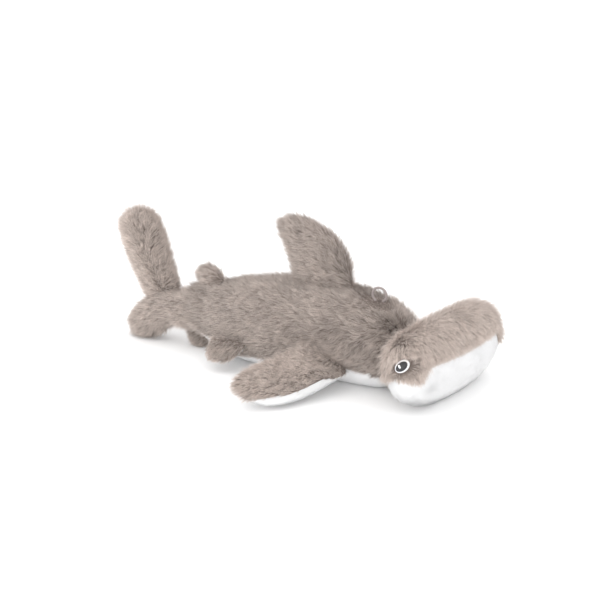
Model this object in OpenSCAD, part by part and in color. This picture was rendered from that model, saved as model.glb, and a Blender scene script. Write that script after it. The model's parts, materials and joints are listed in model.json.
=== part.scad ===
// Stuffed hammerhead shark: plush panels over stuffing, with soft fins that flop.
// +X runs from the tail to the head, +Y to the shark's left and +Z up.
// The origin is the point under the shoulders where the belly rests.

/* [Plush] */
// Thickness of the fabric with its pile pressed down
plush = 4; // [3:0.5:5]
// Space between pieces that are sewn together or that pass each other
gap = 0.4; // [0.3:0.1:0.8]

/* [Body] */
// Height of the body over the shoulders
shoulder_height = 87; // [72:1:105]
// Width of the body over the shoulders
shoulder_width = 86; // [72:1:104]
// Length from the shoulders back to the tail root
rear_length = 118; // [98:1:142]
// Length from the shoulders forward to the neck
front_length = 133; // [112:1:160]
// Distance in front of the origin where the body starts to narrow
neck_start = 40; // [30:1:48]
// Height of the tip of the neck above the floor
neck_rise = 30; // [24:1:36]
// Height of the tail root from its underside to its top
tail_root_height = 42; // [35:1:50]
// Width of the tail root
tail_root_width = 28; // [24:1:34]
// Height of the tail root's underside above the floor
tail_root_rise = 20; // [16:1:25]

/* [Head] */
// Width of the hammer from end to end
hammer_width = 162; // [138:1:200]
// Depth of the hammer from back to front
hammer_depth = 49; // [41:1:59]
// Height of the hammer
hammer_height = 80; // [66:1:96]
// Rise of the hammer's ends above its middle
hammer_lift = 6; // [0:1:8]
// Slump of the hammer's left end, and as much rise of its right end
hammer_slump = 3; // [0:1:5]
// Turn of the head at rest, to the shark's left when positive
head_turn = -10; // [-12:1:12]

/* [Eyes] */
// Length of an eye
eye_length = 18; // [14:0.5:20]
// Width of an eye
eye_width = 10.5; // [8:0.5:12.5]
// Width of the white rim round the pupil
eye_rim = 1.5; // [1:0.25:2]
// Lean of the eye's long axis towards the front
eye_lean = 42; // [0:1:90]

/* [Tail] */
// Length of the straight stem behind the tail joint
stem_length = 15; // [10:1:20]
// Length of the lower lobe behind the bend
lower_lobe_length = 45; // [37:1:48]
// Depth of the stem and the lower lobe
stem_height = 36; // [30:1:40]
// Width of the stem and the lower lobe
stem_width = 28; // [23:1:33]
// Length of the upper lobe
upper_lobe_length = 86; // [72:1:103]
// Width of the upper lobe at its root
upper_lobe_root = 38; // [32:1:42]
// Width of the upper lobe near its tip
upper_lobe_chord = 50; // [42:1:60]

/* [Dorsal fins] */
// Height of the tall dorsal fin
dorsal_height = 63; // [52:1:76]
// Length of the dorsal fin's root
dorsal_root = 62; // [52:1:70]
// Backward lean of the dorsal fin's tip
dorsal_lean = 31; // [20:1:38]
// Height of the small rear dorsal fin
rear_dorsal_height = 18; // [15:1:21]
// Length of the small rear dorsal fin's root
rear_dorsal_root = 24; // [20:1:28]

/* [Pectoral fins] */
// Length of a pectoral fin from root to tip
pectoral_length = 90; // [75:1:108]
// Length of a pectoral fin's root along the body
pectoral_root = 52; // [43:1:58]
// Backward sweep of a pectoral fin's tip
pectoral_sweep = 34; // [18:1:40]
// Height of the pectoral hinge line above the floor
pectoral_rise = 29; // [24:1:34]
// Thickness of every long fin
fin_thickness = 22; // [18:1:25]

/* [Belly fins] */
// Length of a pelvic fin from root to tip
pelvic_length = 21; // [17:1:25]
// Length of a pelvic fin's root along the body
pelvic_root = 38; // [32:1:45]
// Length of the anal fin from root to tip
anal_length = 11.5; // [9.5:0.5:12]
// Length of the anal fin's root along the body
anal_root = 25; // [21:1:28]
// Thickness of the small fins
small_fin_thickness = 9; // [7:0.5:10]

/* [Squeaker] */
// Diameter of the squeaker bulb
squeaker_diameter = 44; // [36:1:50]
// Thickness of the squeaker bulb
squeaker_thickness = 22; // [18:1:26]
// Wall of the squeaker bulb
squeaker_wall = 1.2; // [0.8:0.1:2]
// Radius of the port that holds the reed
port_radius = 4; // [3:0.25:5]

/* [Hang loop] */
// Diameter of the loop over its outside
loop_diameter = 17; // [14:0.5:20]
// Diameter of the elastic cord
cord_diameter = 2.4; // [2:0.1:3]
// Distance of the loop in front of the origin
loop_forward = 86; // [80:1:92]

/* [Hidden] */

grey = [0.65, 0.60, 0.57];
white = [0.95, 0.95, 0.96];
wadding = [0.98, 0.98, 0.96];

sink = 8;                // how far the soft belly would hang below the floor, were it not pressed flat
body_squareness = 2.3;
belly_seam = 215;        // angle of the right belly seam, measured from +Y over the top
seam_slit = 0.8;         // half of the angle left open at a seam
thin = 0.25;             // smallest half size of a section

root_roll = 3;           // radius of the rolled seam at a fin's root
hinge_lift = root_roll + gap;

// Angles and sections of the rounded ends
end_angles = [78, 55, 28];
tail_bulge = 8;
tail_hinge_inset = 6;    // tail hinge, in front of the tail root
tail_swing = 35;
neck_swing = 26;
neck_hinge_inset = 38;   // neck hinge, behind the tip of the neck

function mix(a, b, t) = a + (b - a) * t;
function ease(t, power) = sin(90 * pow(t, power));
function power_of(v, e) = sign(v) * pow(abs(v), e);
function flat(list) = [for (part = list) for (item = part) item];

// A station is [centre, first half axis, second half axis, squareness, groove].
// The first axis crossed with the second points along the loft. The groove is the depth
// that a seam pulls in at 90 degrees; it is left out where there is none.
groove_reach = 0.4;
function ring_point(station, angle, low) =
    let (
        e = 2 / station[3],
        p = station[0] + station[1] * power_of(cos(angle), e) + station[2] * power_of(sin(angle), e),
        near = sin(angle) > 0 ? max(1 - abs(cos(angle)) / groove_reach, 0) : 0,
        groove = len(station) > 4 ? station[4] * near : 0
    )
    [p[0], p[1], max(p[2] - groove, low)];

function ring(station, from, to, steps, low) =
    [for (j = [0:steps]) ring_point(station, mix(from, to, j / steps), low)];

function quad(a, b, c, d) = [[a, b, c], [a, c, d]];

// A sewn panel: the shell between an outer and an inner run of stations, over part of the angle
module panel(outer, inner, from, to, steps, low = -1000, inner_low = -1000) {
    rows = len(outer);
    columns = steps + 1;
    count = rows * columns;
    points = concat(
        flat([for (s = outer) ring(s, from, to, steps, low)]),
        flat([for (s = inner) ring(s, from, to, steps, inner_low)])
    );
    outside = [
        for (i = [0:rows - 2], j = [0:steps - 1])
            let (a = i * columns + j)
            quad(a, a + columns, a + columns + 1, a + 1)
    ];
    inside = [
        for (i = [0:rows - 2], j = [0:steps - 1])
            let (a = count + i * columns + j)
            quad(a, a + 1, a + columns + 1, a + columns)
    ];
    first_end = [for (j = [0:steps - 1]) quad(j, j + 1, count + j + 1, count + j)];
    last_end = [
        for (j = [0:steps - 1])
            let (a = (rows - 1) * columns + j)
            quad(a, count + a, count + a + 1, a + 1)
    ];
    first_edge = [
        for (i = [0:rows - 2])
            let (a = i * columns)
            quad(a, count + a, count + a + columns, a + columns)
    ];
    last_edge = [
        for (i = [0:rows - 2])
            let (a = i * columns + steps)
            quad(a, a + columns, count + a + columns, count + a)
    ];
    polyhedron(points, flat(concat(outside, inside, first_end, last_end, first_edge, last_edge)));
}

// A wad of stuffing: a closed loft through the stations
module wad(stations, steps = 18, low = -1000) {
    rows = len(stations);
    points = flat([for (s = stations) [for (j = [0:steps - 1]) ring_point(s, 360 * j / steps, low)]]);
    sides = [
        for (i = [0:rows - 2], j = [0:steps - 1])
            let (a = i * steps + j, b = i * steps + (j + 1) % steps)
            quad(a, a + steps, b + steps, b)
    ];
    first_cap = [[for (j = [1:steps - 2]) [0, j, j + 1]]];
    top = (rows - 1) * steps;
    last_cap = [[for (j = [1:steps - 2]) [top, top + j + 1, top + j]]];
    polyhedron(points, flat(concat(sides, first_cap, last_cap)));
}

// ---- Body ----

function body_station(x, low, high, half, inset) = [
    [x, 0, (low + high) / 2],
    [0, max(half - inset, thin), 0],
    [0, 0, max((high - low) / 2 - inset, thin)],
    body_squareness,
    groove_at(x)
];

// The seam along the back is pulled in between the dorsal fin and the neck
groove_start = 60;
back_groove = 5;
function groove_at(x) =
    x > groove_start && x < front_length
        ? back_groove * sin(180 * (x - groove_start) / (front_length - groove_start)) : 0;

function rear_low(t) = mix(tail_root_rise, -sink, ease(t, 0.8));
function rear_high(t) = mix(tail_root_rise + tail_root_height, shoulder_height, ease(t, 1));
function rear_half(t) = mix(tail_root_width, shoulder_width, ease(t, 0.95)) / 2;
function front_low(t) = mix(-sink, neck_rise, pow(t, 6));
function front_high(t) = mix(shoulder_height, neck_rise, pow(t, 3.5));
function front_half(t) = shoulder_width / 2 * sqrt(1 - pow(t, 4));

function rear_station(t, inset) =
    body_station(-rear_length * (1 - t), rear_low(t), rear_high(t), rear_half(t), inset);
function front_station(t, inset) =
    body_station(mix(neck_start, front_length, t), front_low(t), front_high(t), front_half(t), inset);

function tail_end_station(angle, inset) =
    let (
        middle = tail_root_rise + tail_root_height / 2,
        size = cos(angle)
    )
    body_station(
        -rear_length - (tail_bulge - min(inset, tail_bulge - 1)) * sin(angle),
        middle - tail_root_height / 2 * size,
        middle + tail_root_height / 2 * size,
        tail_root_width / 2 * size,
        inset * size
    );

rear_steps = [0, 0.08, 0.18, 0.3, 0.44, 0.6, 0.8, 1];
front_steps = [0, 0.2, 0.38, 0.54, 0.68, 0.8, 0.9, 0.975];

function body_stations(inset) = concat(
    [for (angle = end_angles) tail_end_station(angle, inset)],
    [for (t = rear_steps) rear_station(t, inset)],
    [for (t = front_steps) front_station(t, inset)]
);

// Height of the body's top line at a distance x along it
function top_at(x) =
    x < 0 ? rear_high(1 + x / rear_length)
    : x < neck_start ? shoulder_height
    : front_high((x - neck_start) / (front_length - neck_start));

// Half width of the body at a distance x along it and a height z
function side_at(x, z) =
    let (
        t = 1 + x / rear_length,
        low = x < 0 ? rear_low(t) : -sink,
        high = x < 0 ? rear_high(t) : shoulder_height,
        half = x < 0 ? rear_half(t) : shoulder_width / 2,
        part = min(abs(2 * (z - low) / (high - low) - 1), 1)
    )
    half * pow(1 - pow(part, body_squareness), 1 / body_squareness);

module body_skin(from, to, steps) {
    panel(body_stations(0), body_stations(plush), from + seam_slit, to - seam_slit, steps, 0, plush);
}

module body_panel_right() { color(grey) body_skin(90, belly_seam, 9); }
module body_panel_left() { color(grey) body_skin(180 - belly_seam, 90, 9); }
module belly_panel() { color(white) body_skin(belly_seam, 540 - belly_seam, 8); }

// A panel's flat facets cut inside its true curve by a share of the body's size
facet_share = 0.0138;
wad_inset = plush + facet_share * max(shoulder_height, shoulder_width);
wad_steps = 20;
// The two wads leave the middle of the body to the squeaker
flange_thickness = 2;
squeaker_room = squeaker_thickness / 2 + 3 * gap;
front_room = squeaker_room + flange_thickness + gap;

module body_stuffing_front() {
    color(wadding) wad(
        concat(
            [body_station(front_room, -sink, shoulder_height, shoulder_width / 2, wad_inset)],
            [for (t = [0, 0.2, 0.38, 0.54, 0.68, 0.8]) front_station(t, wad_inset)]
        ), wad_steps, wad_inset
    );
}

module body_stuffing_rear() {
    color(wadding) wad(
        [
            for (t = [0.02, 0.18, 0.3, 0.44, 0.6, 0.8, 1 - squeaker_room / rear_length])
                rear_station(t, wad_inset)
        ],
        wad_steps, wad_inset
    );
}

// ---- Squeaker, between the wads ----

squeaker_middle = shoulder_height / 2;

// Half of a lens, cut by its axis
module half_lens(radius, half_thickness) {
    arc = (radius * radius + half_thickness * half_thickness) / (2 * half_thickness);
    intersection() {
        translate([0, half_thickness - arc]) circle(r = arc, $fn = 120);
        translate([0, arc - half_thickness]) circle(r = arc, $fn = 120);
        translate([0, -radius]) square([radius, 2 * radius]);
    }
}

module squeaker_bulb() {
    color([0.93, 0.92, 0.85]) translate([0, 0, squeaker_middle]) rotate([0, 90, 0]) rotate_extrude($fn = 64)
        difference() {
            half_lens(squeaker_diameter / 2, squeaker_thickness / 2);
            half_lens(squeaker_diameter / 2 - 2 * squeaker_wall, squeaker_thickness / 2 - squeaker_wall);
            square([port_radius, squeaker_thickness]);
        }
}

reed_depth = 6;          // how far the reed reaches into the bulb
reed_wall = 1;
reed_clearance = 0.1;
flange_rim = 2;

module squeaker_reed() {
    barrel = port_radius - reed_clearance;
    reed_height = reed_depth + gap + flange_thickness;
    color([0.85, 0.3, 0.25]) translate([squeaker_thickness / 2, 0, squeaker_middle]) rotate([0, 90, 0]) {
        difference() {
            union() {
                translate([0, 0, -reed_depth]) cylinder(r = barrel, h = reed_depth + gap, $fn = 48);
                translate([0, 0, gap]) cylinder(r = port_radius + flange_rim, h = flange_thickness, $fn = 48);
            }
            translate([0, 0, -reed_depth - 1])
                cylinder(r = barrel - reed_wall, h = reed_height + 2, $fn = 48);
        }
    }
}

// ---- Head ----

neck_hinge = front_length - neck_hinge_inset;
// Furthest reach of the rounded neck from its hinge when the head turns
neck_side_share = 0.06;
neck_reach = neck_hinge_inset * cos(neck_swing) + neck_side_share * shoulder_width;
head_back = neck_hinge + max(neck_hinge_inset, neck_reach) + gap;
head_middle = head_back + hammer_depth / 2;
hammer_end_share = 0.55;
head_sink = 1;           // as for the belly
head_seam_front = 26;    // angle of the front seam above the middle of the hammer
head_seam_back = 228;    // angle of the back seam
head_squareness = 2.1;

function hammer_share(q, power) = pow(1 - (1 - pow(hammer_end_share, 3)) * pow(q, power), 1 / 3);
function hammer_centre(q) = (hammer_height - head_sink) / 2 + hammer_lift * q * q - hammer_slump * q;

function head_station(q, inset) =
    let (
        deep = hammer_depth / 2 * hammer_share(abs(q), 6),
        tall = (hammer_height + head_sink) / 2 * hammer_share(abs(q), 3)
    )
    [
        [head_middle, q * (hammer_width / 2 - inset), hammer_centre(q)],
        [deep - inset, 0, 0],
        [0, 0, tall - inset],
        head_squareness
    ];

// The end station again, drawn in to close the flat end
function head_cap(q, inset) =
    let (s = head_station(q, inset))
    [s[0], s[1] / norm(s[1]) * thin, s[2] / norm(s[2]) * thin, s[3]];

hammer_steps = [1, 0.93, 0.82, 0.68, 0.5, 0.25, 0, -0.25, -0.5, -0.68, -0.82, -0.93, -1];

function head_stations(inset) = concat(
    [head_cap(1, inset)],
    [for (q = hammer_steps) head_station(q, inset)],
    [head_cap(-1, inset)]
);

module on_head() {
    translate([neck_hinge, 0, 0]) rotate([0, 0, head_turn]) translate([-neck_hinge, 0, 0]) children();
}

module head_skin(from, to, steps) {
    on_head() panel(
        head_stations(0), head_stations(plush), from + seam_slit, to - seam_slit, steps, 0, plush
    );
}

module head_top_panel() { color(grey) head_skin(head_seam_front, head_seam_back, 14); }
module head_under_panel() { color(white) head_skin(head_seam_back, 360 + head_seam_front, 10); }
module head_stuffing() {
    color(wadding) on_head() wad(
        [for (q = [1, 0.9, 0.7, 0.4, 0, -0.4, -0.7, -0.9, -1]) head_station(q, wad_inset)],
        wad_steps, wad_inset
    );
}

// ---- Eyes, on the flat ends of the hammer ----

thread = 0.8;            // thickness of each stitched layer
layer_gap = 0.1;
eye_forward = 4;
eye_up = 8;

// side is -1 for the right eye and 1 for the left; layer counts outwards from the plush
module eye_layer(side, layer, length, width, shift = [0, 0]) {
    out = hammer_width / 2 + layer_gap + layer * (thread + layer_gap);
    on_head() translate([head_middle + eye_forward, side * out, hammer_centre(side) + eye_up])
        rotate([90, 0, 0]) mirror([0, 0, side > 0 ? 1 : 0])
            linear_extrude(thread) rotate(eye_lean) translate(shift)
                polygon([for (a = [0:12:348]) [length / 2 * cos(a), width / 2 * sin(a)]]);
}

module eye_patch(side) { color(white) eye_layer(side, 0, eye_length, eye_width); }
module eye_pupil(side) {
    color([0.05, 0.05, 0.06]) eye_layer(side, 1, eye_length - 2 * eye_rim, eye_width - 2 * eye_rim);
}
module eye_glint(side) {
    glint = 0.3 * eye_width;
    color(white) eye_layer(side, 2, glint, glint, [-0.08 * eye_length, 0.1 * eye_width]);
}

module eye_patch_right() { eye_patch(-1); }
module eye_pupil_right() { eye_pupil(-1); }
module eye_glint_right() { eye_glint(-1); }
module eye_patch_left() { eye_patch(1); }
module eye_pupil_left() { eye_pupil(1); }
module eye_glint_left() { eye_glint(1); }

// ---- Tail stem and lower lobe: a straight run, a bend and a straight lobe ----

tail_hinge = -rear_length + tail_hinge_inset;
// Furthest reach of the tail root's rounded end from the hinge when the tail swings
tail_reach = tail_hinge_inset * cos(tail_swing)
    + norm([tail_bulge * cos(tail_swing), tail_root_width / 2 * sin(tail_swing)]);
tail_front = tail_hinge - max(tail_reach, tail_hinge_inset + tail_bulge) - gap;
tail_drop = 2;           // how far the stem sits below the middle of the tail root
tail_middle = tail_root_rise + tail_root_height / 2 - tail_drop;
bend_radius = 28;
bend_angle = 36;
tail_squareness = 2.2;
lobe_taper = 0.84;       // the lobe's width at its tip, as a share of the stem's
bend_length = bend_radius * bend_angle * PI / 180;
tail_length = stem_length + bend_length + lower_lobe_length;

// Place and slope of the tail's centre line at a distance along it
function tail_slope(along) = bend_angle * min(max((along - stem_length) / bend_length, 0), 1);
function tail_place(along) =
    let (
        slope = tail_slope(along),
        straight = min(along, stem_length),
        lobe = max(along - stem_length - bend_length, 0)
    )
    [
        tail_front - straight - bend_radius * sin(slope) - lobe * cos(bend_angle),
        0,
        tail_middle - bend_radius * (1 - cos(slope)) - lobe * sin(bend_angle)
    ];

function tail_station(t, inset) =
    let (
        slope = tail_slope(t * tail_length),
        round_off = sqrt(1 - pow(t, 7)),
        half_height = max(stem_height / 2 * round_off - inset, thin),
        half_width = max(stem_width / 2 * round_off * mix(1, lobe_taper, t) - inset, thin)
    )
    [
        tail_place(t * (tail_length - inset)),
        [0, -half_width, 0],
        [-half_height * sin(slope), 0, half_height * cos(slope)],
        tail_squareness
    ];

tail_steps = [0, 0.12, 0.24, 0.36, 0.48, 0.6, 0.72, 0.82, 0.9, 0.96, 1];

function tail_stations(inset) = [for (t = tail_steps) tail_station(t, inset)];

// The first axis points to the right side, so angles run from -90 to 90 there
module tail_skin(from, to) {
    panel(tail_stations(0), tail_stations(plush), from + seam_slit, to - seam_slit, 9, 0, 1);
}

module tail_panel_right() { color(grey) tail_skin(-90, 90); }
module tail_panel_left() { color(grey) tail_skin(90, 270); }
module tail_stuffing() {
    color(wadding)
        wad([for (t = [0.04, 0.2, 0.36, 0.52, 0.68, 0.8, 0.88]) tail_station(t, wad_inset)], 16, 1);
}

// ---- Fins ----
// A fin is lofted along +Z from its hinge line, with its root along X and its thickness along Y.

function fin_thickness_at(s, half_thickness) =
    mix(root_roll, half_thickness, sin(90 * min(s / 0.4, 1))) * sqrt(1 - pow(s, 6));

// sizes: [length, root, chord near the tip, lean of the tip, power of the lean, half thickness, bluntness]
function fin_station(s, sizes, inset) =
    let (
        half_chord = mix(sizes[1], sizes[2], s) / 2 * sqrt(1 - pow(s, sizes[6])),
        half_thickness = fin_thickness_at(s, sizes[5])
    )
    [
        [-sizes[3] * pow(s, sizes[4]), 0, s * (sizes[0] - inset)],
        [max(half_chord - inset, thin), 0, 0],
        [0, max(half_thickness - inset, thin), 0],
        2
    ];

// The rolled seam under the hinge line
function root_station(sizes, inset) = [
    [0, 0, -0.85 * root_roll],
    [sizes[1] / 2 - inset, 0, 0],
    [0, max(root_roll / 2 - inset, thin), 0],
    2
];

fin_steps = [0, 0.1, 0.22, 0.36, 0.52, 0.68, 0.8, 0.89, 0.96, 1];
small_fin_steps = [0, 0.25, 0.5, 0.75, 0.92, 1];

function fin_stations(sizes, steps, inset) =
    concat([root_station(sizes, inset)], [for (s = steps) fin_station(s, sizes, inset)]);

// side is 1 for the panel on the +Y side and -1 for the other
module fin_panel(sizes, side) {
    from = side > 0 ? 0 : 180;
    panel(
        fin_stations(sizes, fin_steps, 0), fin_stations(sizes, fin_steps, plush),
        from + seam_slit, from + 180 - seam_slit, 8
    );
}

// A small fin's layer is solid up to the seam in its middle
module small_fin_panel(sizes, side) {
    from = side > 0 ? 0 : 180;
    outer = fin_stations(sizes, small_fin_steps, 0);
    inner = [for (s = outer) [s[0], s[1] * 0.98, s[2] / norm(s[2]) * 0.1, s[3]]];
    panel(outer, inner, from + seam_slit, from + 180 - seam_slit, 7);
}

module fin_stuffing(sizes) {
    color(wadding) wad([for (s = [0.26, 0.4, 0.56, 0.72, 0.84]) fin_station(s, sizes, wad_inset)], 16);
}

// Upper tail lobe, standing on the stem
upper_lobe_tilt = 21;
upper_lobe_sizes =
    [upper_lobe_length, upper_lobe_root, upper_lobe_chord, 0, 1, fin_thickness / 2, 7];
lobe_front = tail_front - stem_length;
bend_clearance = 3.5;    // lets the straight root pass over the bend in the stem
lobe_root_middle = [
    lobe_front - upper_lobe_root / 2 * cos(upper_lobe_tilt),
    0,
    tail_middle + stem_height / 2 + hinge_lift + bend_clearance
        - upper_lobe_root / 2 * sin(upper_lobe_tilt)
];

module on_upper_lobe() { translate(lobe_root_middle) rotate([0, -upper_lobe_tilt, 0]) children(); }
module upper_lobe_panel_right() { color(grey) on_upper_lobe() fin_panel(upper_lobe_sizes, -1); }
module upper_lobe_panel_left() { color(grey) on_upper_lobe() fin_panel(upper_lobe_sizes, 1); }
module upper_lobe_stuffing() { on_upper_lobe() fin_stuffing(upper_lobe_sizes); }

// Tall dorsal fin, over the shoulders
dorsal_flare = 4;        // how much longer the chord near the tip is than the root
dorsal_sizes =
    [dorsal_height, dorsal_root, dorsal_root + dorsal_flare, dorsal_lean, 2, fin_thickness / 2, 5];
dorsal_forward = 27;

module on_dorsal() { translate([dorsal_forward, 0, shoulder_height + hinge_lift]) children(); }
module dorsal_panel_right() { color(grey) on_dorsal() fin_panel(dorsal_sizes, -1); }
module dorsal_panel_left() { color(grey) on_dorsal() fin_panel(dorsal_sizes, 1); }
module dorsal_stuffing() { on_dorsal() fin_stuffing(dorsal_sizes); }

// Small rear dorsal fin, near the tail root
rear_dorsal_inset = 20;  // its middle, in front of the tail root
rear_dorsal_lean = 4;
rear_dorsal_fullness = 2; // how much thicker each half is than the belly fins'
rear_dorsal_back = rear_length - rear_dorsal_inset;
rear_dorsal_sizes = [
    rear_dorsal_height, rear_dorsal_root, rear_dorsal_root, rear_dorsal_lean, 1,
    small_fin_thickness / 2 + rear_dorsal_fullness, 3
];
rear_dorsal_rise =
    top_at(rear_dorsal_root / 2 - rear_dorsal_back) - top_at(-rear_dorsal_root / 2 - rear_dorsal_back);
rear_dorsal_tilt = atan(rear_dorsal_rise / rear_dorsal_root);

module on_rear_dorsal() {
    translate([-rear_dorsal_back, 0, top_at(-rear_dorsal_back) + hinge_lift / cos(rear_dorsal_tilt)])
        rotate([0, -rear_dorsal_tilt, 0]) children();
}
module rear_dorsal_panel_right() { color(grey) on_rear_dorsal() small_fin_panel(rear_dorsal_sizes, -1); }
module rear_dorsal_panel_left() { color(grey) on_rear_dorsal() small_fin_panel(rear_dorsal_sizes, 1); }

// Pectoral fins, drooping from the flanks to the floor
pectoral_forward = 47;
pectoral_flare = 6;      // how much longer the chord near the tip is than the root
pectoral_sizes = [
    pectoral_length, pectoral_root, pectoral_root + pectoral_flare, pectoral_sweep, 1.3, fin_thickness / 2, 6
];
tip_rise = 0.25 * fin_thickness; // height of the middle of the fin's tip above the floor
pectoral_tilt = 24;      // the root slopes down towards the head
// How far the sweep and the tilt together raise the lower edge of the tip
swept_rise = (pectoral_sweep - 0.25 * (pectoral_root + pectoral_flare)) * sin(pectoral_tilt);
pectoral_droop = asin((pectoral_rise - tip_rise + swept_rise) / pectoral_length);
pectoral_out = shoulder_width / 2 + hinge_lift;

// The right fin, which the left one mirrors
module on_pectoral(side) {
    mirror([0, side > 0 ? 1 : 0, 0])
        translate([pectoral_forward, -pectoral_out, pectoral_rise])
            rotate([0, pectoral_tilt, 0]) rotate([90 + pectoral_droop, 0, 0]) children();
}
module pectoral_top_right() { color(grey) on_pectoral(-1) fin_panel(pectoral_sizes, 1); }
module pectoral_under_right() { color(white) on_pectoral(-1) fin_panel(pectoral_sizes, -1); }
module pectoral_stuffing_right() { on_pectoral(-1) fin_stuffing(pectoral_sizes); }
module pectoral_top_left() { color(grey) on_pectoral(1) fin_panel(pectoral_sizes, 1); }
module pectoral_under_left() { color(white) on_pectoral(1) fin_panel(pectoral_sizes, -1); }
module pectoral_stuffing_left() { on_pectoral(1) fin_stuffing(pectoral_sizes); }

// Pelvic fins, hanging from the flanks in front of the tail root
pelvic_back = 59;
pelvic_rise = 27;
pelvic_droop = 47;
pelvic_sweep = 5;
small_fin_taper = 0.9;   // a small fin's chord near its tip, as a share of its root
pelvic_sizes =
    [pelvic_length, pelvic_root, small_fin_taper * pelvic_root, pelvic_sweep, 1, small_fin_thickness / 2, 3];
// The hinge line clears the widest part of the flank beside it
pelvic_out = side_at(pelvic_root / 2 - pelvic_back, pelvic_rise + root_roll) + hinge_lift;

module on_pelvic(side) {
    mirror([0, side > 0 ? 1 : 0, 0])
        translate([-pelvic_back, -pelvic_out, pelvic_rise]) rotate([90 + pelvic_droop, 0, 0]) children();
}
module pelvic_top_right() { color(grey) on_pelvic(-1) small_fin_panel(pelvic_sizes, 1); }
module pelvic_under_right() { color(white) on_pelvic(-1) small_fin_panel(pelvic_sizes, -1); }
module pelvic_top_left() { color(grey) on_pelvic(1) small_fin_panel(pelvic_sizes, 1); }
module pelvic_under_left() { color(white) on_pelvic(1) small_fin_panel(pelvic_sizes, -1); }

// Anal fin, under the tail root
anal_sweep = -4;
anal_sizes =
    [anal_length, anal_root, small_fin_taper * anal_root, anal_sweep, 1, small_fin_thickness / 2, 3];
anal_tilt = 17;
belly_clearance = 3.9;   // lets the straight root pass under the bulge of the belly
anal_rise = tail_root_rise - hinge_lift - belly_clearance;

module on_anal() {
    translate([-rear_length, 0, anal_rise]) rotate([180, anal_tilt, 0]) children();
}
module anal_panel_right() { color(grey) on_anal() small_fin_panel(anal_sizes, 1); }
module anal_panel_left() { color(white) on_anal() small_fin_panel(anal_sizes, -1); }

// ---- Hang loop, sewn into the seam on the back ----

loop_opening = 60;       // angle of the ring that the seam swallows
cord_radius = cord_diameter / 2;
loop_radius = loop_diameter / 2 - cord_radius;
loop_lift = 1.6;         // lets the swinging cord pass over the sides of the groove
loop_hinge = top_at(loop_forward) - groove_at(loop_forward) + cord_radius + gap + loop_lift;
tack_radius = 0.75 * cord_radius;
tack_length = 2 * (loop_radius * sin(loop_opening / 2) - cord_radius - gap);

module hang_loop() {
    color([0.35, 0.32, 0.31])
        translate([loop_forward, 0, loop_hinge + loop_radius * cos(loop_opening / 2)])
            rotate([90, 0, 0]) rotate([0, 0, loop_opening / 2 - 90])
                rotate_extrude(angle = 360 - loop_opening, $fn = 96)
                    translate([loop_radius, 0]) circle(r = cord_radius, $fn = 24);
}

module loop_tack() {
    color([0.4, 0.37, 0.35]) translate([loop_forward - tack_length / 2, 0, loop_hinge])
        rotate([0, 90, 0]) cylinder(r = tack_radius, h = tack_length, $fn = 24);
}

body_panel_right();
body_panel_left();
belly_panel();
body_stuffing_front();
body_stuffing_rear();
squeaker_bulb();
squeaker_reed();
loop_tack();
hang_loop();
head_top_panel();
head_under_panel();
head_stuffing();
eye_patch_right();
eye_pupil_right();
eye_glint_right();
eye_patch_left();
eye_pupil_left();
eye_glint_left();
tail_panel_right();
tail_panel_left();
tail_stuffing();
upper_lobe_panel_right();
upper_lobe_panel_left();
upper_lobe_stuffing();
dorsal_panel_right();
dorsal_panel_left();
dorsal_stuffing();
rear_dorsal_panel_right();
rear_dorsal_panel_left();
pectoral_top_right();
pectoral_under_right();
pectoral_stuffing_right();
pectoral_top_left();
pectoral_under_left();
pectoral_stuffing_left();
pelvic_top_right();
pelvic_under_right();
pelvic_top_left();
pelvic_under_left();
anal_panel_right();
anal_panel_left();
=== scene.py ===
"""A stuffed hammerhead shark: long grey fur above, short white plush below, soft fins and stitched eyes."""
import json
import math

import bpy
import numpy as np
from mathutils import Matrix, Vector
from mathutils.kdtree import KDTree


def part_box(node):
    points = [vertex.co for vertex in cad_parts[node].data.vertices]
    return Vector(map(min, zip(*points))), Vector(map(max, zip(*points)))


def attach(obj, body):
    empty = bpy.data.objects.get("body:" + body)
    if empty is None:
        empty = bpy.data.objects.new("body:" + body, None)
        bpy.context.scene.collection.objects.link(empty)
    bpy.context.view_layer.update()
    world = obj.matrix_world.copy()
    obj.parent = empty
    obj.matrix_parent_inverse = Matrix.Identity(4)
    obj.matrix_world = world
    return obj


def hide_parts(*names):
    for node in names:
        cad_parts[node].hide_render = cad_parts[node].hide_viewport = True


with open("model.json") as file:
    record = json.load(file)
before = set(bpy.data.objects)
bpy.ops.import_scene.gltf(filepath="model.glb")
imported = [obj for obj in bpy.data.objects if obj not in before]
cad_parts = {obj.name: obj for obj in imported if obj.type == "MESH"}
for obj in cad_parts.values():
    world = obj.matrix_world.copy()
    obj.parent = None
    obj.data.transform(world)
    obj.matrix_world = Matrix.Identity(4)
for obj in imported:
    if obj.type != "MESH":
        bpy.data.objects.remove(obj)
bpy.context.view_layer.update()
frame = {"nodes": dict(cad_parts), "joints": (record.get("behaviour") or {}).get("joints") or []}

bl_info = {
    "name": "Stuffed hammerhead shark",
    "version": (1, 0, 0),
    "blender": (4, 5, 0),
    "location": "3D View > Sidebar > Shark",
    "description": "Builds the skins, fur, stitched eyes and hang loop of a stuffed shark",
    "category": "Add Mesh",
}

MM = 0.001
FLOOR_GAP = 0.0005       # how far above the floor the lowest pile lies

# ---- Sizes of the shark, in metres, as in the CAD part ----

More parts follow.
